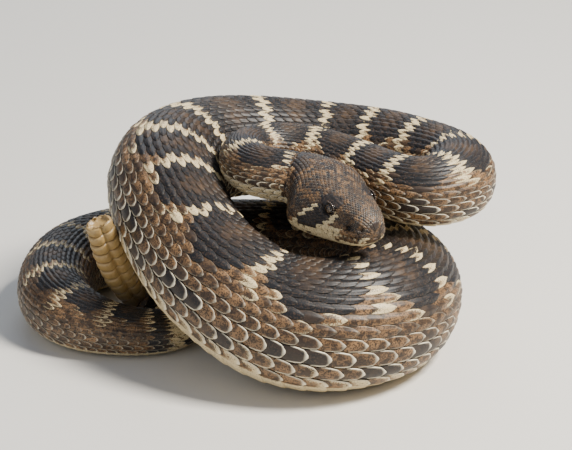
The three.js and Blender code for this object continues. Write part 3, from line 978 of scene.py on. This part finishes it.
def layHeadScales():
    # Small keeled scales over the crown and cheeks, clear of the eyes, brows, pits and nostrils
    def acrossAt(back, arc):
        lipHigh = crownForm["lipHigh"] * (1 - smooth(40, 46, back)) * smooth(0, 5, back)
        return float(eased(crownForm["pitch"], back)), 0, 1, arc[90] - lipHigh

    places = staggeredPlaces(crownForm, acrossAt)
    back = places[:, 0]
    angle = places[:, 1]
    points = surface(back, angle)
    keep = np.ones(len(places), bool)
    for side in (1, -1):
        centre, ahead, out, up = eyeFrame(side)
        rel = points - centre
        flat = np.hypot(rel @ ahead, rel @ up)
        keep &= (flat >= headShape["eyeRadius"] + crownForm["eyeClear"]) | (rel @ out <= -3)
        fromBrow = (angle * side - browForm["angle"]) / browForm["round"]
        keep &= np.hypot((back - browForm["back"]) / browForm["long"], fromBrow) >= 0.93
    for spot in headShape["relief"][:2]:
        keep &= fromHollow(back, angle, spot) > 0.85
    template = stackedScale(**crownForm["scale"])
    relief = np.interp(places[keep, 2], *crownForm["relief"])
    return layScales("scales_head", places[keep], template, relief, **crownForm["laying"])


def layLips():
    # Plates along the upper and the lower lip
    places = []
    for row in lipForm["rows"]:
        back = lipForm["firstAt"]
        while back < lipForm["end"]:
            arc = arcTable(back)
            pitch = np.interp(back, *lipForm["pitch"])
            angle = float(np.interp(arc[90] - row, arc, angleGrid))
            for side in (1, -1):
                places.append((back, angle * side, pitch, degreesFor(lipForm["halfHigh"], angle, arc)))
            back += pitch
    return layScales("scales_lips", places, stackedScale(**lipForm["scale"]), **lipForm["laying"])


def layThroat():
    # Smooth scales from the middle of the throat out to the lower lip
    def acrossAt(back, arc):
        return throatForm["pitch"], arc[180], -1, arc[180] - arc[90] - throatForm["lipRoom"]

    places = staggeredPlaces(throatForm, acrossAt)
    return layScales("scales_throat", places, stackedScale(**throatForm["scale"]), **throatForm["laying"])


def headMatrix(back, out, up):
    # Turns and places a piece in the head's own directions: x ahead, y left, z up, in metres
    middle, ahead, left, upward = headAxes(back)
    columns = [ahead, left, upward, inFrame(middle + left * out + upward * up)]
    matrix = Matrix.Identity(4)
    for place, column in enumerate(columns):
        for row in range(3):
            matrix[row][place] = column[row]
    return matrix


def settle(obj, matrix):
    obj.data.transform(matrix)
    obj.matrix_world = Matrix.Identity(4)


def paintPiece(obj, marks, uvCentre, uvSpan):
    # Gives a single piece of the head its marks (dark, pale, rim, tone) and its own place in the unwrap
    mesh = obj.data
    layer = mesh.attributes.new("marks", "FLOAT_COLOR", "POINT")
    layer.data.foreach_set("color", np.tile(marks, len(mesh.vertices)).astype(np.float32))
    while mesh.uv_layers:
        mesh.uv_layers.remove(mesh.uv_layers[0])
    layer = mesh.uv_layers.new(name="OFBake")
    select(obj)
    bpy.ops.object.mode_set(mode="EDIT")
    bpy.ops.mesh.select_all(action="SELECT")
    bpy.ops.uv.smart_project(angle_limit=math.radians(70), island_margin=0.02)
    bpy.ops.object.mode_set(mode="OBJECT")
    uv = np.zeros(len(mesh.loops) * 2, np.float32)
    layer.data.foreach_get("uv", uv)
    uv = (uv.reshape(-1, 2) - 0.5) * uvSpan + uvCentre
    layer.data.foreach_set("uv", uv.ravel().astype(np.float32))


def makeBrows():
    # The plate over each eye: a grid drawn to an oval on the head, then thickened
    made = []
    for side in (1, -1):
        bpy.ops.object.select_all(action="DESELECT")
        bpy.ops.mesh.primitive_grid_add(x_subdivisions=26, y_subdivisions=18, size=2)
        obj = bpy.context.object
        obj.name = named("brow", side)
        grid = np.array([v.co[:] for v in obj.data.vertices])
        x = grid[:, 0] * np.sqrt(1 - grid[:, 1] ** 2 / 2)
        y = grid[:, 1] * np.sqrt(1 - grid[:, 0] ** 2 / 2)
        back = browForm["back"] - x * browForm["long"]
        angle = browForm["angle"] + y * browForm["round"] * (1 - 0.1 * x)
        dome = browForm["dome"] * (1 - np.hypot(x, y) ** 3) - browForm["sunk"]
        overhang = browForm["overhang"] * smooth(0.2, 1.0, y) * (1 - 0.5 * x**2)
        wave = 0.05 * np.sin(7 * x + 3 * y) + 0.04 * np.sin(11 * y - 4 * x)
        at = inFrame(raised(back, angle * side, dome + overhang + wave))
        for vertex, place in zip(obj.data.vertices, at):
            vertex.co = place
        solid = obj.modifiers.new("thick", "SOLIDIFY")
        solid.thickness = browForm["thick"] * mm
        solid.offset = -side
        bpy.ops.object.modifier_apply(modifier="thick")
        facesOut(obj)
        bpy.ops.object.shade_smooth()
        paintPiece(obj, browForm["marks"], (0.5 - 0.25 * side, 0.5), 0.4)
        made.append(obj)
    return made


snoutForm = {
    # left of the middle, height, half width and half height of each plate
    "plates": [
        (0, -0.7, 1.7, 1.8), (2.3, 0.6, 1.0, 1.4), (-2.3, 0.6, 1.0, 1.4),
        (0, 1.6, 1.3, 0.7), (0, -3.6, 1.5, 0.6),
    ],
    "thick": 0.4,
    "back": 0.75,
    "marks": (0.35, 0.25, 0.0, 0.5),
}


def makeSnoutPlates():
    # The plates across the front of the snout and chin, from flattened spheres
    parts = []
    for out, up, wide, high in snoutForm["plates"]:
        plate = ball(20, 12)
        plate.data.transform(Matrix.Diagonal((snoutForm["thick"] * mm, wide * mm, high * mm, 1)))
        settle(plate, headMatrix(snoutForm["back"] + 0.05 * abs(out), out, up))
        parts.append(plate)
    obj = joined(parts, "snout_plates")
    paintPiece(obj, snoutForm["marks"], (0.5, 0.5), 0.98)
    return obj


eyeRimForm = {
    "scales": 15,
    "half": (0.62, 0.5, 0.5),
    "clear": 0.3,
    "squash": 0.93,
    "out": 0.85,
    "marks": (0.8, 0.1, 0.0, 0.5),
}


def makeEyeRims():
    # A ring of small scales round each eye
    form = eyeRimForm
    reach = headShape["eyeRadius"] + form["clear"]
    made = []
    for side in (1, -1):
        ring = []
        for k in range(form["scales"]):
            bead = ball(12, 8)
            a = 2 * math.pi * k / form["scales"]
            bead.data.transform(Matrix.Diagonal([half * mm for half in form["half"]] + [1]))
            bead.data.transform(Matrix.Rotation(-a + math.pi / 2, 4, "Y"))
            spot = Vector((math.cos(a) * reach, 0, math.sin(a) * reach * form["squash"])) * mm
            bead.data.transform(Matrix.Translation(spot))
            ring.append(bead)
        obj = joined(ring, named("eye_rim", side))
        out = side * (headShape["eyeOut"] + form["out"])
        settle(obj, headMatrix(headShape["eyeBack"], out, headShape["eyeUp"]))
        paintPiece(obj, form["marks"], (0.5, 0.5), 0.98)
        made.append(obj)
    return made


def makeEyes(iris, glass):
    # The iris ball and the clear window over it
    made = []
    for side in (1, -1):
        for part, radius, finish in (("eye_iris", "irisRadius", iris), ("eye_window", "eyeRadius", glass)):
            obj = ball(48, 32, headShape[radius] * mm)
            obj.name = named(part, side)
            mesh = obj.data
            # The pole points out of the head, and the attribute keeps the eye's own directions
            mesh.transform(Matrix.Rotation(math.radians(-90 * side), 4, "X"))
            layer = mesh.attributes.new("gaze", "FLOAT_VECTOR", "POINT")
            values = np.array([v.co[:] for v in mesh.vertices]) / (headShape[radius] * mm)
            layer.data.foreach_set("vector", values.astype(np.float32).ravel())
            settle(obj, headMatrix(headShape["eyeBack"], side * headShape["eyeOut"], headShape["eyeUp"]))
            bpy.ops.object.shade_smooth()
            mesh.materials.append(finish)
            made.append(obj)
    return made


# Rattle

rattleForm = {
    "tip": (-86, -27, 64.5),
    "lead": 13,
    "gap": 0.3,
    "segments": 10,
    "wide": 6.9,
    "thick": 4.7,
    # how full each segment is, from the tail to the worn end
    "full": [0.93, 0.99, 1.04, 1.08, 1.1, 1.1, 1.08, 1.04, 0.98, 0.92],
    "groove": 0.42,
    "sides": 56,
    # place along a segment, and its share of the full width there
    "profile": [
        (0.0, 0.74), (0.02, 0.83), (0.06, 0.89), (0.14, 0.94), (0.3, 0.98), (0.5, 1.0), (0.68, 1.0),
        (0.82, 0.985), (0.91, 0.955), (0.96, 0.9), (0.985, 0.8),
    ],
    # share of the full width, depth inside and raggedness of the rings of the open end
    "worn": [(0.74, 0.0, 0.55), (0.66, -0.1, 0.5), (0.6, 0.9, 0.2), (0.3, 1.5, 0.0)],
    # how much single segments differ: size, waviness and lean
    "stir": (0.012, 0.05, 0.025),
    "seed": 9,
}


def rattleFrames():
    # Middle, heading and back at even steps of the curve that the rattle follows
    heading = body["heading"][-1]
    start = body["middle"][-1] + heading * rattleForm["gap"]
    lead = start + heading * rattleForm["lead"]
    t = np.linspace(0, 1, 601)[:, None]
    curve = (1 - t) ** 2 * start + 2 * t * (1 - t) * lead + t**2 * np.array(rattleForm["tip"], float)
    slope = unit(np.gradient(curve, axis=0))
    backs = []
    back = body["back"][-1]
    last = heading
    for way in slope:
        back = carried(back, last, way)
        last = way
        backs.append(back)
    return curve, slope, np.array(backs)


def makeRattle(finish):
    form = rattleForm
    tables = rattleFrames()
    along = lengthsAlong(tables[0])

    def frameAt(place):
        at = place * along[-1]
        picked = [np.array([np.interp(at, along, table[:, k]) for k in range(3)]) for table in tables]
        way = unit(picked[1])
        up = unit(picked[2])
        return picked[0], way, up, unit(np.cross(way, up))

    sides = form["sides"]
    a = np.arange(sides) / sides * 2 * np.pi
    rng = np.random.default_rng(form["seed"])
    grooved = 1 - form["groove"] * np.exp(-np.abs(np.cos(a)) / 0.2)
    sizeStir, waveStir, leanStir = form["stir"]
    rings = []
    for i in range(form["segments"]):
        size = form["full"][i] * (1 + rng.normal(0, sizeStir))
        swell = 1 + rng.normal(0, waveStir, 3)[0]
        lean = rng.normal(0, leanStir) * form["wide"] * np.cos(a)
        wave = 1 + 0.012 * np.sin(3 * a + i) * swell + 0.008 * np.sin(7 * a + 2 * i)
        for place, wide in form["profile"]:
            middle, way, up, side = frameAt((i + place) / form["segments"])
            out = form["wide"] * size * wide * np.cos(a) * wave
            across = form["thick"] * size * wide * grooved * np.sin(a) * wave
            rings.append(middle + up * out[:, None] + side * across[:, None] + way * lean[:, None])
    # The last segment is worn and broken open
    middle, way, up, side = frameAt(1.0)
    for size, sink, rag in form["worn"]:
        out = form["wide"] * size * np.cos(a)
        across = form["thick"] * size * np.sin(a)
        ragged = rag * (np.sin(5 * a) + 0.6 * np.sin(3 * a + 1) + 0.5 * np.sin(11 * a + 2))
        rings.append(middle + up * out[:, None] + side * across[:, None] + way * (ragged - sink)[:, None])
    rows = len(rings)
    last = (rows - 1) * sides
    faces = tubeFaces(rows, sides) + [list(range(sides))[::-1], list(range(last, last + sides))]
    # Marks: how near a crease, which sets the painted shade there, and how far from the tail
    segment = np.repeat(np.arange(rows), sides) / len(form["profile"])
    fromTail = np.clip(segment / form["segments"], 0, 1)
    marks = marksColumn(np.abs(segment % 1.0 - 0.5) * 2, fromTail, 0.0, 0.0)
    uv = []
    for face in faces:
        for corner in face:
            row, k = divmod(corner, sides)
            if len(face) > 4:
                uv.append((0.1 + 0.05 * math.cos(a[k]) + (0.2 if row else 0), 0.93 + 0.05 * math.sin(a[k])))
            else:
                wrap = 1 if k == 0 and max(face[0] % sides, face[1] % sides) == sides - 1 else 0
                uv.append(((k / sides + wrap) * 0.9 + 0.02, row / rows * 0.82 + 0.02))
    _, corners, sizes = cornersOf(faces)
    obj = meshPiece("rattle_segments", np.array(rings).reshape(-1, 3), corners, sizes, uv, marks)
    facesOut(obj)
    obj.data.materials.append(finish)
    return obj


# Materials


def linear(hexCode):
    # sRGB hex to linear colour
    values = [int(hexCode[i:i + 2], 16) / 255 for i in (1, 3, 5)]
    return tuple(v / 12.92 if v <= 0.04045 else ((v + 0.055) / 1.055) ** 2.4 for v in values) + (1.0,)


def newMaterial(name):
    material = bpy.data.materials.new(name)
    material.use_nodes = True
    material.node_tree.nodes.clear()
    return material, material.node_tree


def addNode(tree, kind, settings, sockets):
    # A node with its settings and links. Sockets come by name, or as a list in the order of those in use.
    # Each gets a fixed value, an output, or a node, which stands for its first output in use
    node = tree.nodes.new("ShaderNode" + kind)
    for name, value in settings.items():
        setattr(node, name, value)
    inUse = [socket for socket in node.inputs if socket.enabled]
    if isinstance(sockets, dict):
        inUse = [node.inputs[name] for name in sockets]
        sockets = sockets.values()
    for socket, value in zip(inUse, sockets):
        if isinstance(value, bpy.types.Node):
            value = next(output for output in value.outputs if output.enabled)
        if isinstance(value, bpy.types.NodeSocket):
            tree.links.new(value, socket)
        else:
            socket.default_value = value
    return node


mixColours = {"data_type": "RGBA", "clamp_factor": True}
easedStep = {"interpolation_type": "SMOOTHSTEP"}
times = {"operation": "MULTIPLY"}
plus = {"operation": "ADD"}

coatColours = {
    "ground": "#8d6b47",
    "groundDeep": "#45321f",
    "groundSpeck": "#170e09",
    # black of the diamonds, tinted blue as a painted sky reflection
    "diamond": "#0f1115",
    "diamondFleck": "#46362a",
    "cream": "#d0bd93",
    # cream of the scales' free edges, made paler in part as a painted highlight
    "rim": "#ece2c8",
    "betweenScales": "#15110d",
    "roughness": {"scales": 0.47, "belly": 0.38, "skin": 0.6},
    # clouds and specks of the skin's own size, and fine strokes drawn as coarse as they need to show
    "grainMm": 3.2,
    "speckMm": 0.7,
    "strokeMm": 0.35,
    # noise levels between which clouds and specks set in, and how strong the specks are
    "clouds": (0.4, 0.66),
    "specks": {"ground": (0.5, 0.56, 0.85), "diamond": (0.53, 0.6, 0.75), "cream": (0.57, 0.63, 0.7)},
    # reach over which a pale mark fills a scale, and over which a rim fills its free edge
    "paleReach": (1.72, 1.92),
    "rimReach": (0.74, 0.95),
    "bumpMm": 0.12,
}


def coatMaterial(name, roughness, betweenScales=0.0):
    # Keratin scales, dry and half dull: brown ground full of fine dark specks, black diamonds tinted blue as
    # a painted sky reflection, cream edges made paler in part as a painted highlight
    colours = {key: linear(value) for key, value in coatColours.items() if isinstance(value, str)}
    material, tree = newMaterial(name)
    onPiece = addNode(tree, "TexCoord", {}, {}).outputs["Object"]
    marks = addNode(tree, "Attribute", {"attribute_name": "marks"}, {})
    edge = addNode(tree, "Attribute", {"attribute_name": "edge"}, {}).outputs["Fac"]
    dark, pale, rim = addNode(tree, "SeparateColor", {}, [marks]).outputs
    noises = []
    for size, detail in (("grainMm", 3.0), ("speckMm", 3.0), ("strokeMm", 2.0)):
        sockets = {"Vector": onPiece, "Scale": 1 / (coatColours[size] * mm), "Detail": detail}
        noises.append(addNode(tree, "TexNoise", {}, sockets))
    grain, fine, stroke = noises
    # The brown ground, deeper in clouds and on some scales, and its specks
    clouds = addNode(tree, "MapRange", easedStep, [grain, *coatColours["clouds"]])
    deeper = addNode(tree, "Math", times, [marks.outputs["Alpha"], 0.5])
    deepness = addNode(tree, "Math", {"operation": "ADD", "use_clamp": True}, [clouds, deeper])
    ground = addNode(tree, "Mix", mixColours, [deepness, colours["ground"], colours["groundDeep"]])
    specked = []
    for colour, speck, place in (
        (ground, "groundSpeck", "ground"),
        (colours["diamond"], "diamondFleck", "diamond"),
        (colours["cream"], "groundDeep", "cream"),
    ):
        low, high, strength = coatColours["specks"][place]
        specks = addNode(tree, "MapRange", easedStep, [fine, low, high])
        weight = addNode(tree, "Math", times, [specks, strength])
        specked.append(addNode(tree, "Mix", mixColours, [weight, colour, colours[speck]]))
    ground, diamond, cream = specked
    # Black diamonds, tinted blue as a painted sky reflection
    coat = addNode(tree, "Mix", mixColours, [dark, ground, diamond])
    # Pale marks fill a scale from its free edge, in a ragged way
    reach = addNode(tree, "Math", plus, [edge, addNode(tree, "Math", times, [pale, 0.85])])
    reach = addNode(tree, "Math", plus, [reach, addNode(tree, "Math", times, [fine, 1.6])])
    filled = addNode(tree, "MapRange", easedStep, [reach, *coatColours["paleReach"]])
    isPale = addNode(tree, "MapRange", easedStep, [pale, 0.0, 0.06])
    weight = addNode(tree, "Math", times, [filled, isPale])
    coat = addNode(tree, "Mix", mixColours, [weight, coat, cream])
    # Cream rims along the free edges, their paleness partly a painted highlight
    atEdge = addNode(tree, "MapRange", easedStep, [edge, *coatColours["rimReach"]])
    weight = addNode(tree, "Math", times, [addNode(tree, "Math", times, [rim, atEdge]), 0.9])
    coat = addNode(tree, "Mix", mixColours, [weight, coat, colours["rim"]])
    if betweenScales:
        coat = addNode(tree, "Mix", mixColours, [betweenScales, coat, colours["betweenScales"]])
    relief = {"Strength": 0.35, "Distance": coatColours["bumpMm"] * mm, "Height": stroke}
    bump = addNode(tree, "Bump", {}, relief)
    shader = addNode(tree, "BsdfPrincipled", {}, {
        "Base Color": coat, "Roughness": roughness, "IOR": 1.5, "Specular IOR Level": 0.42, "Normal": bump,
    })
    addNode(tree, "OutputMaterial", {}, {"Surface": shader})
    return material


irisColours = {
    "vein": "#2b1e10",
    "gold": "#6f532b",
    "outer": "#17100a",
    "pupil": "#050505",
    # how narrow and how tall the slit is
    "slit": (60.0, 2.2),
    "veinScale": 7.0,
    "roughness": 0.35,
}


def irisMaterial():
    # Iris of a pit viper: brown gold, darker toward the rim, with an upright slit pupil
    colours = {key: linear(value) for key, value in irisColours.items() if isinstance(value, str)}
    material, tree = newMaterial("iris brown gold")
    gaze = addNode(tree, "Attribute", {"attribute_name": "gaze"}, {}).outputs["Vector"]
    x, _, z = addNode(tree, "SeparateXYZ", {}, [gaze]).outputs
    x2 = addNode(tree, "Math", times, [x, x])
    z2 = addNode(tree, "Math", times, [z, z])
    narrow, tall = [addNode(tree, "Math", times, pair) for pair in zip((x2, z2), irisColours["slit"])]
    slit = addNode(tree, "Math", plus, [narrow, tall])
    pupil = addNode(tree, "Math", {"operation": "LESS_THAN"}, [slit, 1.0])
    veins = addNode(tree, "TexNoise", {}, {"Vector": gaze, "Scale": irisColours["veinScale"], "Detail": 4.0})
    gold = addNode(tree, "Mix", mixColours, [veins, colours["vein"], colours["gold"]])
    radial = addNode(tree, "Math", plus, [x2, z2])
    outer = addNode(tree, "Mix", mixColours, [radial, gold, colours["outer"]])
    colour = addNode(tree, "Mix", mixColours, [pupil, outer, colours["pupil"]])
    sockets = {"Base Color": colour, "Roughness": irisColours["roughness"]}
    shader = addNode(tree, "BsdfPrincipled", {}, sockets)
    addNode(tree, "OutputMaterial", {}, {"Surface": shader})
    return material


def windowMaterial():
    # The clear scale over the eye, smooth and always wet looking
    material, tree = newMaterial("clear eye scale")
    shader = addNode(tree, "BsdfPrincipled", {}, {
        "Base Color": (1, 1, 1, 1), "Roughness": 0.03, "IOR": 1.38, "Transmission Weight": 1.0,
    })
    addNode(tree, "OutputMaterial", {}, {"Surface": shader})
    return material


hornColours = {
    "light": "#a88d5c",
    "tan": "#8d7144",
    # colour of the painted shade in the creases between segments
    "deep": "#4f3a20",
    "base": "#6c5c48",
    "roughness": 0.4,
    "grainMm": 1.1,
    "bumpMm": 0.3,
    # share of the rattle at the tail's end that is duller
    "baseShare": 0.16,
}


def hornMaterial():
    # Dry horn of the rattle: straw brown, with painted shade darkening the creases, half glossy and slightly
    # see-through
    colours = {key: linear(value) for key, value in hornColours.items() if isinstance(value, str)}
    material, tree = newMaterial("rattle horn")
    onPiece = addNode(tree, "TexCoord", {}, {}).outputs["Object"]
    marks = addNode(tree, "Attribute", {"attribute_name": "marks"}, {})
    creaseShade, fromTail, _ = addNode(tree, "SeparateColor", {}, [marks]).outputs
    scale = 1 / (hornColours["grainMm"] * mm)
    grain = addNode(tree, "TexNoise", {}, {"Vector": onPiece, "Scale": scale, "Detail": 4.0})
    mottled = addNode(tree, "Mix", mixColours, [grain, colours["light"], colours["tan"]])
    # Painted shade: darker toward each crease between segments
    creaseShade = addNode(tree, "Math", {"operation": "POWER"}, [creaseShade, 6.0])
    weight = addNode(tree, "Math", times, [creaseShade, 0.8])
    creaseShaded = addNode(tree, "Mix", mixColours, [weight, mottled, colours["deep"]])
    nearTail = addNode(tree, "Math", {"operation": "SUBTRACT"}, [hornColours["baseShare"], fromTail])
    nearTail = addNode(tree, "Math", {"operation": "MULTIPLY", "use_clamp": True}, [nearTail, 6.0])
    colour = addNode(tree, "Mix", mixColours, [nearTail, creaseShaded, colours["base"]])
    relief = {"Strength": 0.5, "Distance": hornColours["bumpMm"] * mm, "Height": grain}
    bump = addNode(tree, "Bump", {}, relief)
    shader = addNode(tree, "BsdfPrincipled", {}, {
        "Base Color": colour, "Roughness": hornColours["roughness"], "IOR": 1.54, "Normal": bump,
        "Subsurface Weight": 0.12, "Subsurface Radius": (0.002, 0.0012, 0.0006),
    })
    addNode(tree, "OutputMaterial", {}, {"Surface": shader})
    return material


def paperMaterial():
    # Pale matt backdrop paper
    material, tree = newMaterial("pale paper")
    shader = addNode(tree, "BsdfPrincipled", {}, {"Base Color": linear("#d9d6cf"), "Roughness": 0.9})
    addNode(tree, "OutputMaterial", {}, {"Surface": shader})
    return material


# Build

print("frames", round(wholeLength), "mm of snake")
roughness = coatColours["roughness"]
skinMaterial = coatMaterial("snake skin between scales", roughness["skin"], betweenScales=0.45)
scaleMaterial = coatMaterial("keratin scales", roughness["scales"])
bellyMaterial = coatMaterial("belly plates", roughness["belly"])

skin = makeSkin()
skin.data.materials.append(skinMaterial)
coat = makeCoat()
belly = makeBellyPlates()
belly.data.materials.append(bellyMaterial)
headCoat = [layHeadScales(), layLips(), layThroat()]
plates = makeBrows() + [makeSnoutPlates()] + makeEyeRims()
for piece in coat + headCoat + plates:
    piece.data.materials.append(scaleMaterial)
for piece in [skin] + coat + headCoat + [belly] + plates:
    print(piece.name, sum(len(f.vertices) - 2 for f in piece.data.polygons), "triangles")

eyes = makeEyes(irisMaterial(), windowMaterial())
rattle = makeRattle(hornMaterial())
print("eyes and rattle")

for piece in [skin, belly, rattle] + coat + headCoat + plates + eyes:
    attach(piece, "root")
flesh = [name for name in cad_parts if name.split("_")[0] in ("head", "neck", "body", "tail")]
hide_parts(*flesh)
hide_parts("rattle")
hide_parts("eye_left")
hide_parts("eye_right")

# Floor, light and camera

stage = {
    "elevation": 24.0,
    "distance": 1.3,
    "mmPerPixel": 0.46,
    "imageWidth": 572,
    "imageHeight": 450,
    "targetMm": (0, 0, 40),
    "targetPixel": (290, 247),
    "sensor": 36.0,
    "floorSize": 6,
    # name, place, height aimed at, size, power and colour of each lamp
    "lamps": [
        ("key", (0.62, -0.22, 0.95), 0.04, 0.3, 34, (1.0, 0.95, 0.87)),
        ("fill", (-0.9, -0.9, 0.7), 0.04, 1.2, 3.5, (0.86, 0.92, 1.0)),
        ("rim", (-0.1, 1.1, 0.8), 0.05, 0.8, 5.5, (0.88, 0.94, 1.0)),
    ],
    "sky": (0.75, 0.83, 1.0, 1),
    "skyStrength": 0.35,
}


def addFloor():
    bpy.ops.object.select_all(action="DESELECT")
    bpy.ops.mesh.primitive_plane_add(size=stage["floorSize"])
    floor = bpy.context.object
    floor.name = "floor"
    floor.data.materials.append(paperMaterial())


def addLamp(name, place, aimHeight, size, power, colour):
    data = bpy.data.lights.new(name, "AREA")
    data.size = size
    data.energy = power
    data.color = colour
    obj = bpy.data.objects.new(name, data)
    bpy.context.scene.collection.objects.link(obj)
    obj.location = place
    obj.rotation_euler = (Vector((0, 0, aimHeight)) - Vector(place)).to_track_quat("-Z", "Y").to_euler()


def addCamera():
    e = math.radians(stage["elevation"])
    away = Vector((0, -math.cos(e), math.sin(e)))
    up = Vector((0, math.sin(e), math.cos(e)))
    target = Vector(inFrame(stage["targetMm"]))
    scale = stage["mmPerPixel"] * mm
    right = (stage["imageWidth"] / 2 - stage["targetPixel"][0]) * scale
    rise = (stage["targetPixel"][1] - stage["imageHeight"] / 2) * scale
    data = bpy.data.cameras.new("camera")
    data.sensor_width = stage["sensor"]
    data.lens = stage["sensor"] * stage["distance"] / (stage["imageWidth"] * scale)
    obj = bpy.data.objects.new("camera", data)
    bpy.context.scene.collection.objects.link(obj)
    obj.location = target + away * stage["distance"] + Vector((1, 0, 0)) * right + up * rise
    obj.rotation_euler = (math.pi / 2 - e, 0, 0)
    bpy.context.scene.camera = obj


addFloor()
for lamp in stage["lamps"]:
    addLamp(*lamp)
world = bpy.data.worlds.new("studio")
world.use_nodes = True
world.node_tree.nodes["Background"].inputs[0].default_value = stage["sky"]
world.node_tree.nodes["Background"].inputs[1].default_value = stage["skyStrength"]
bpy.context.scene.world = world
addCamera()
print("stage")
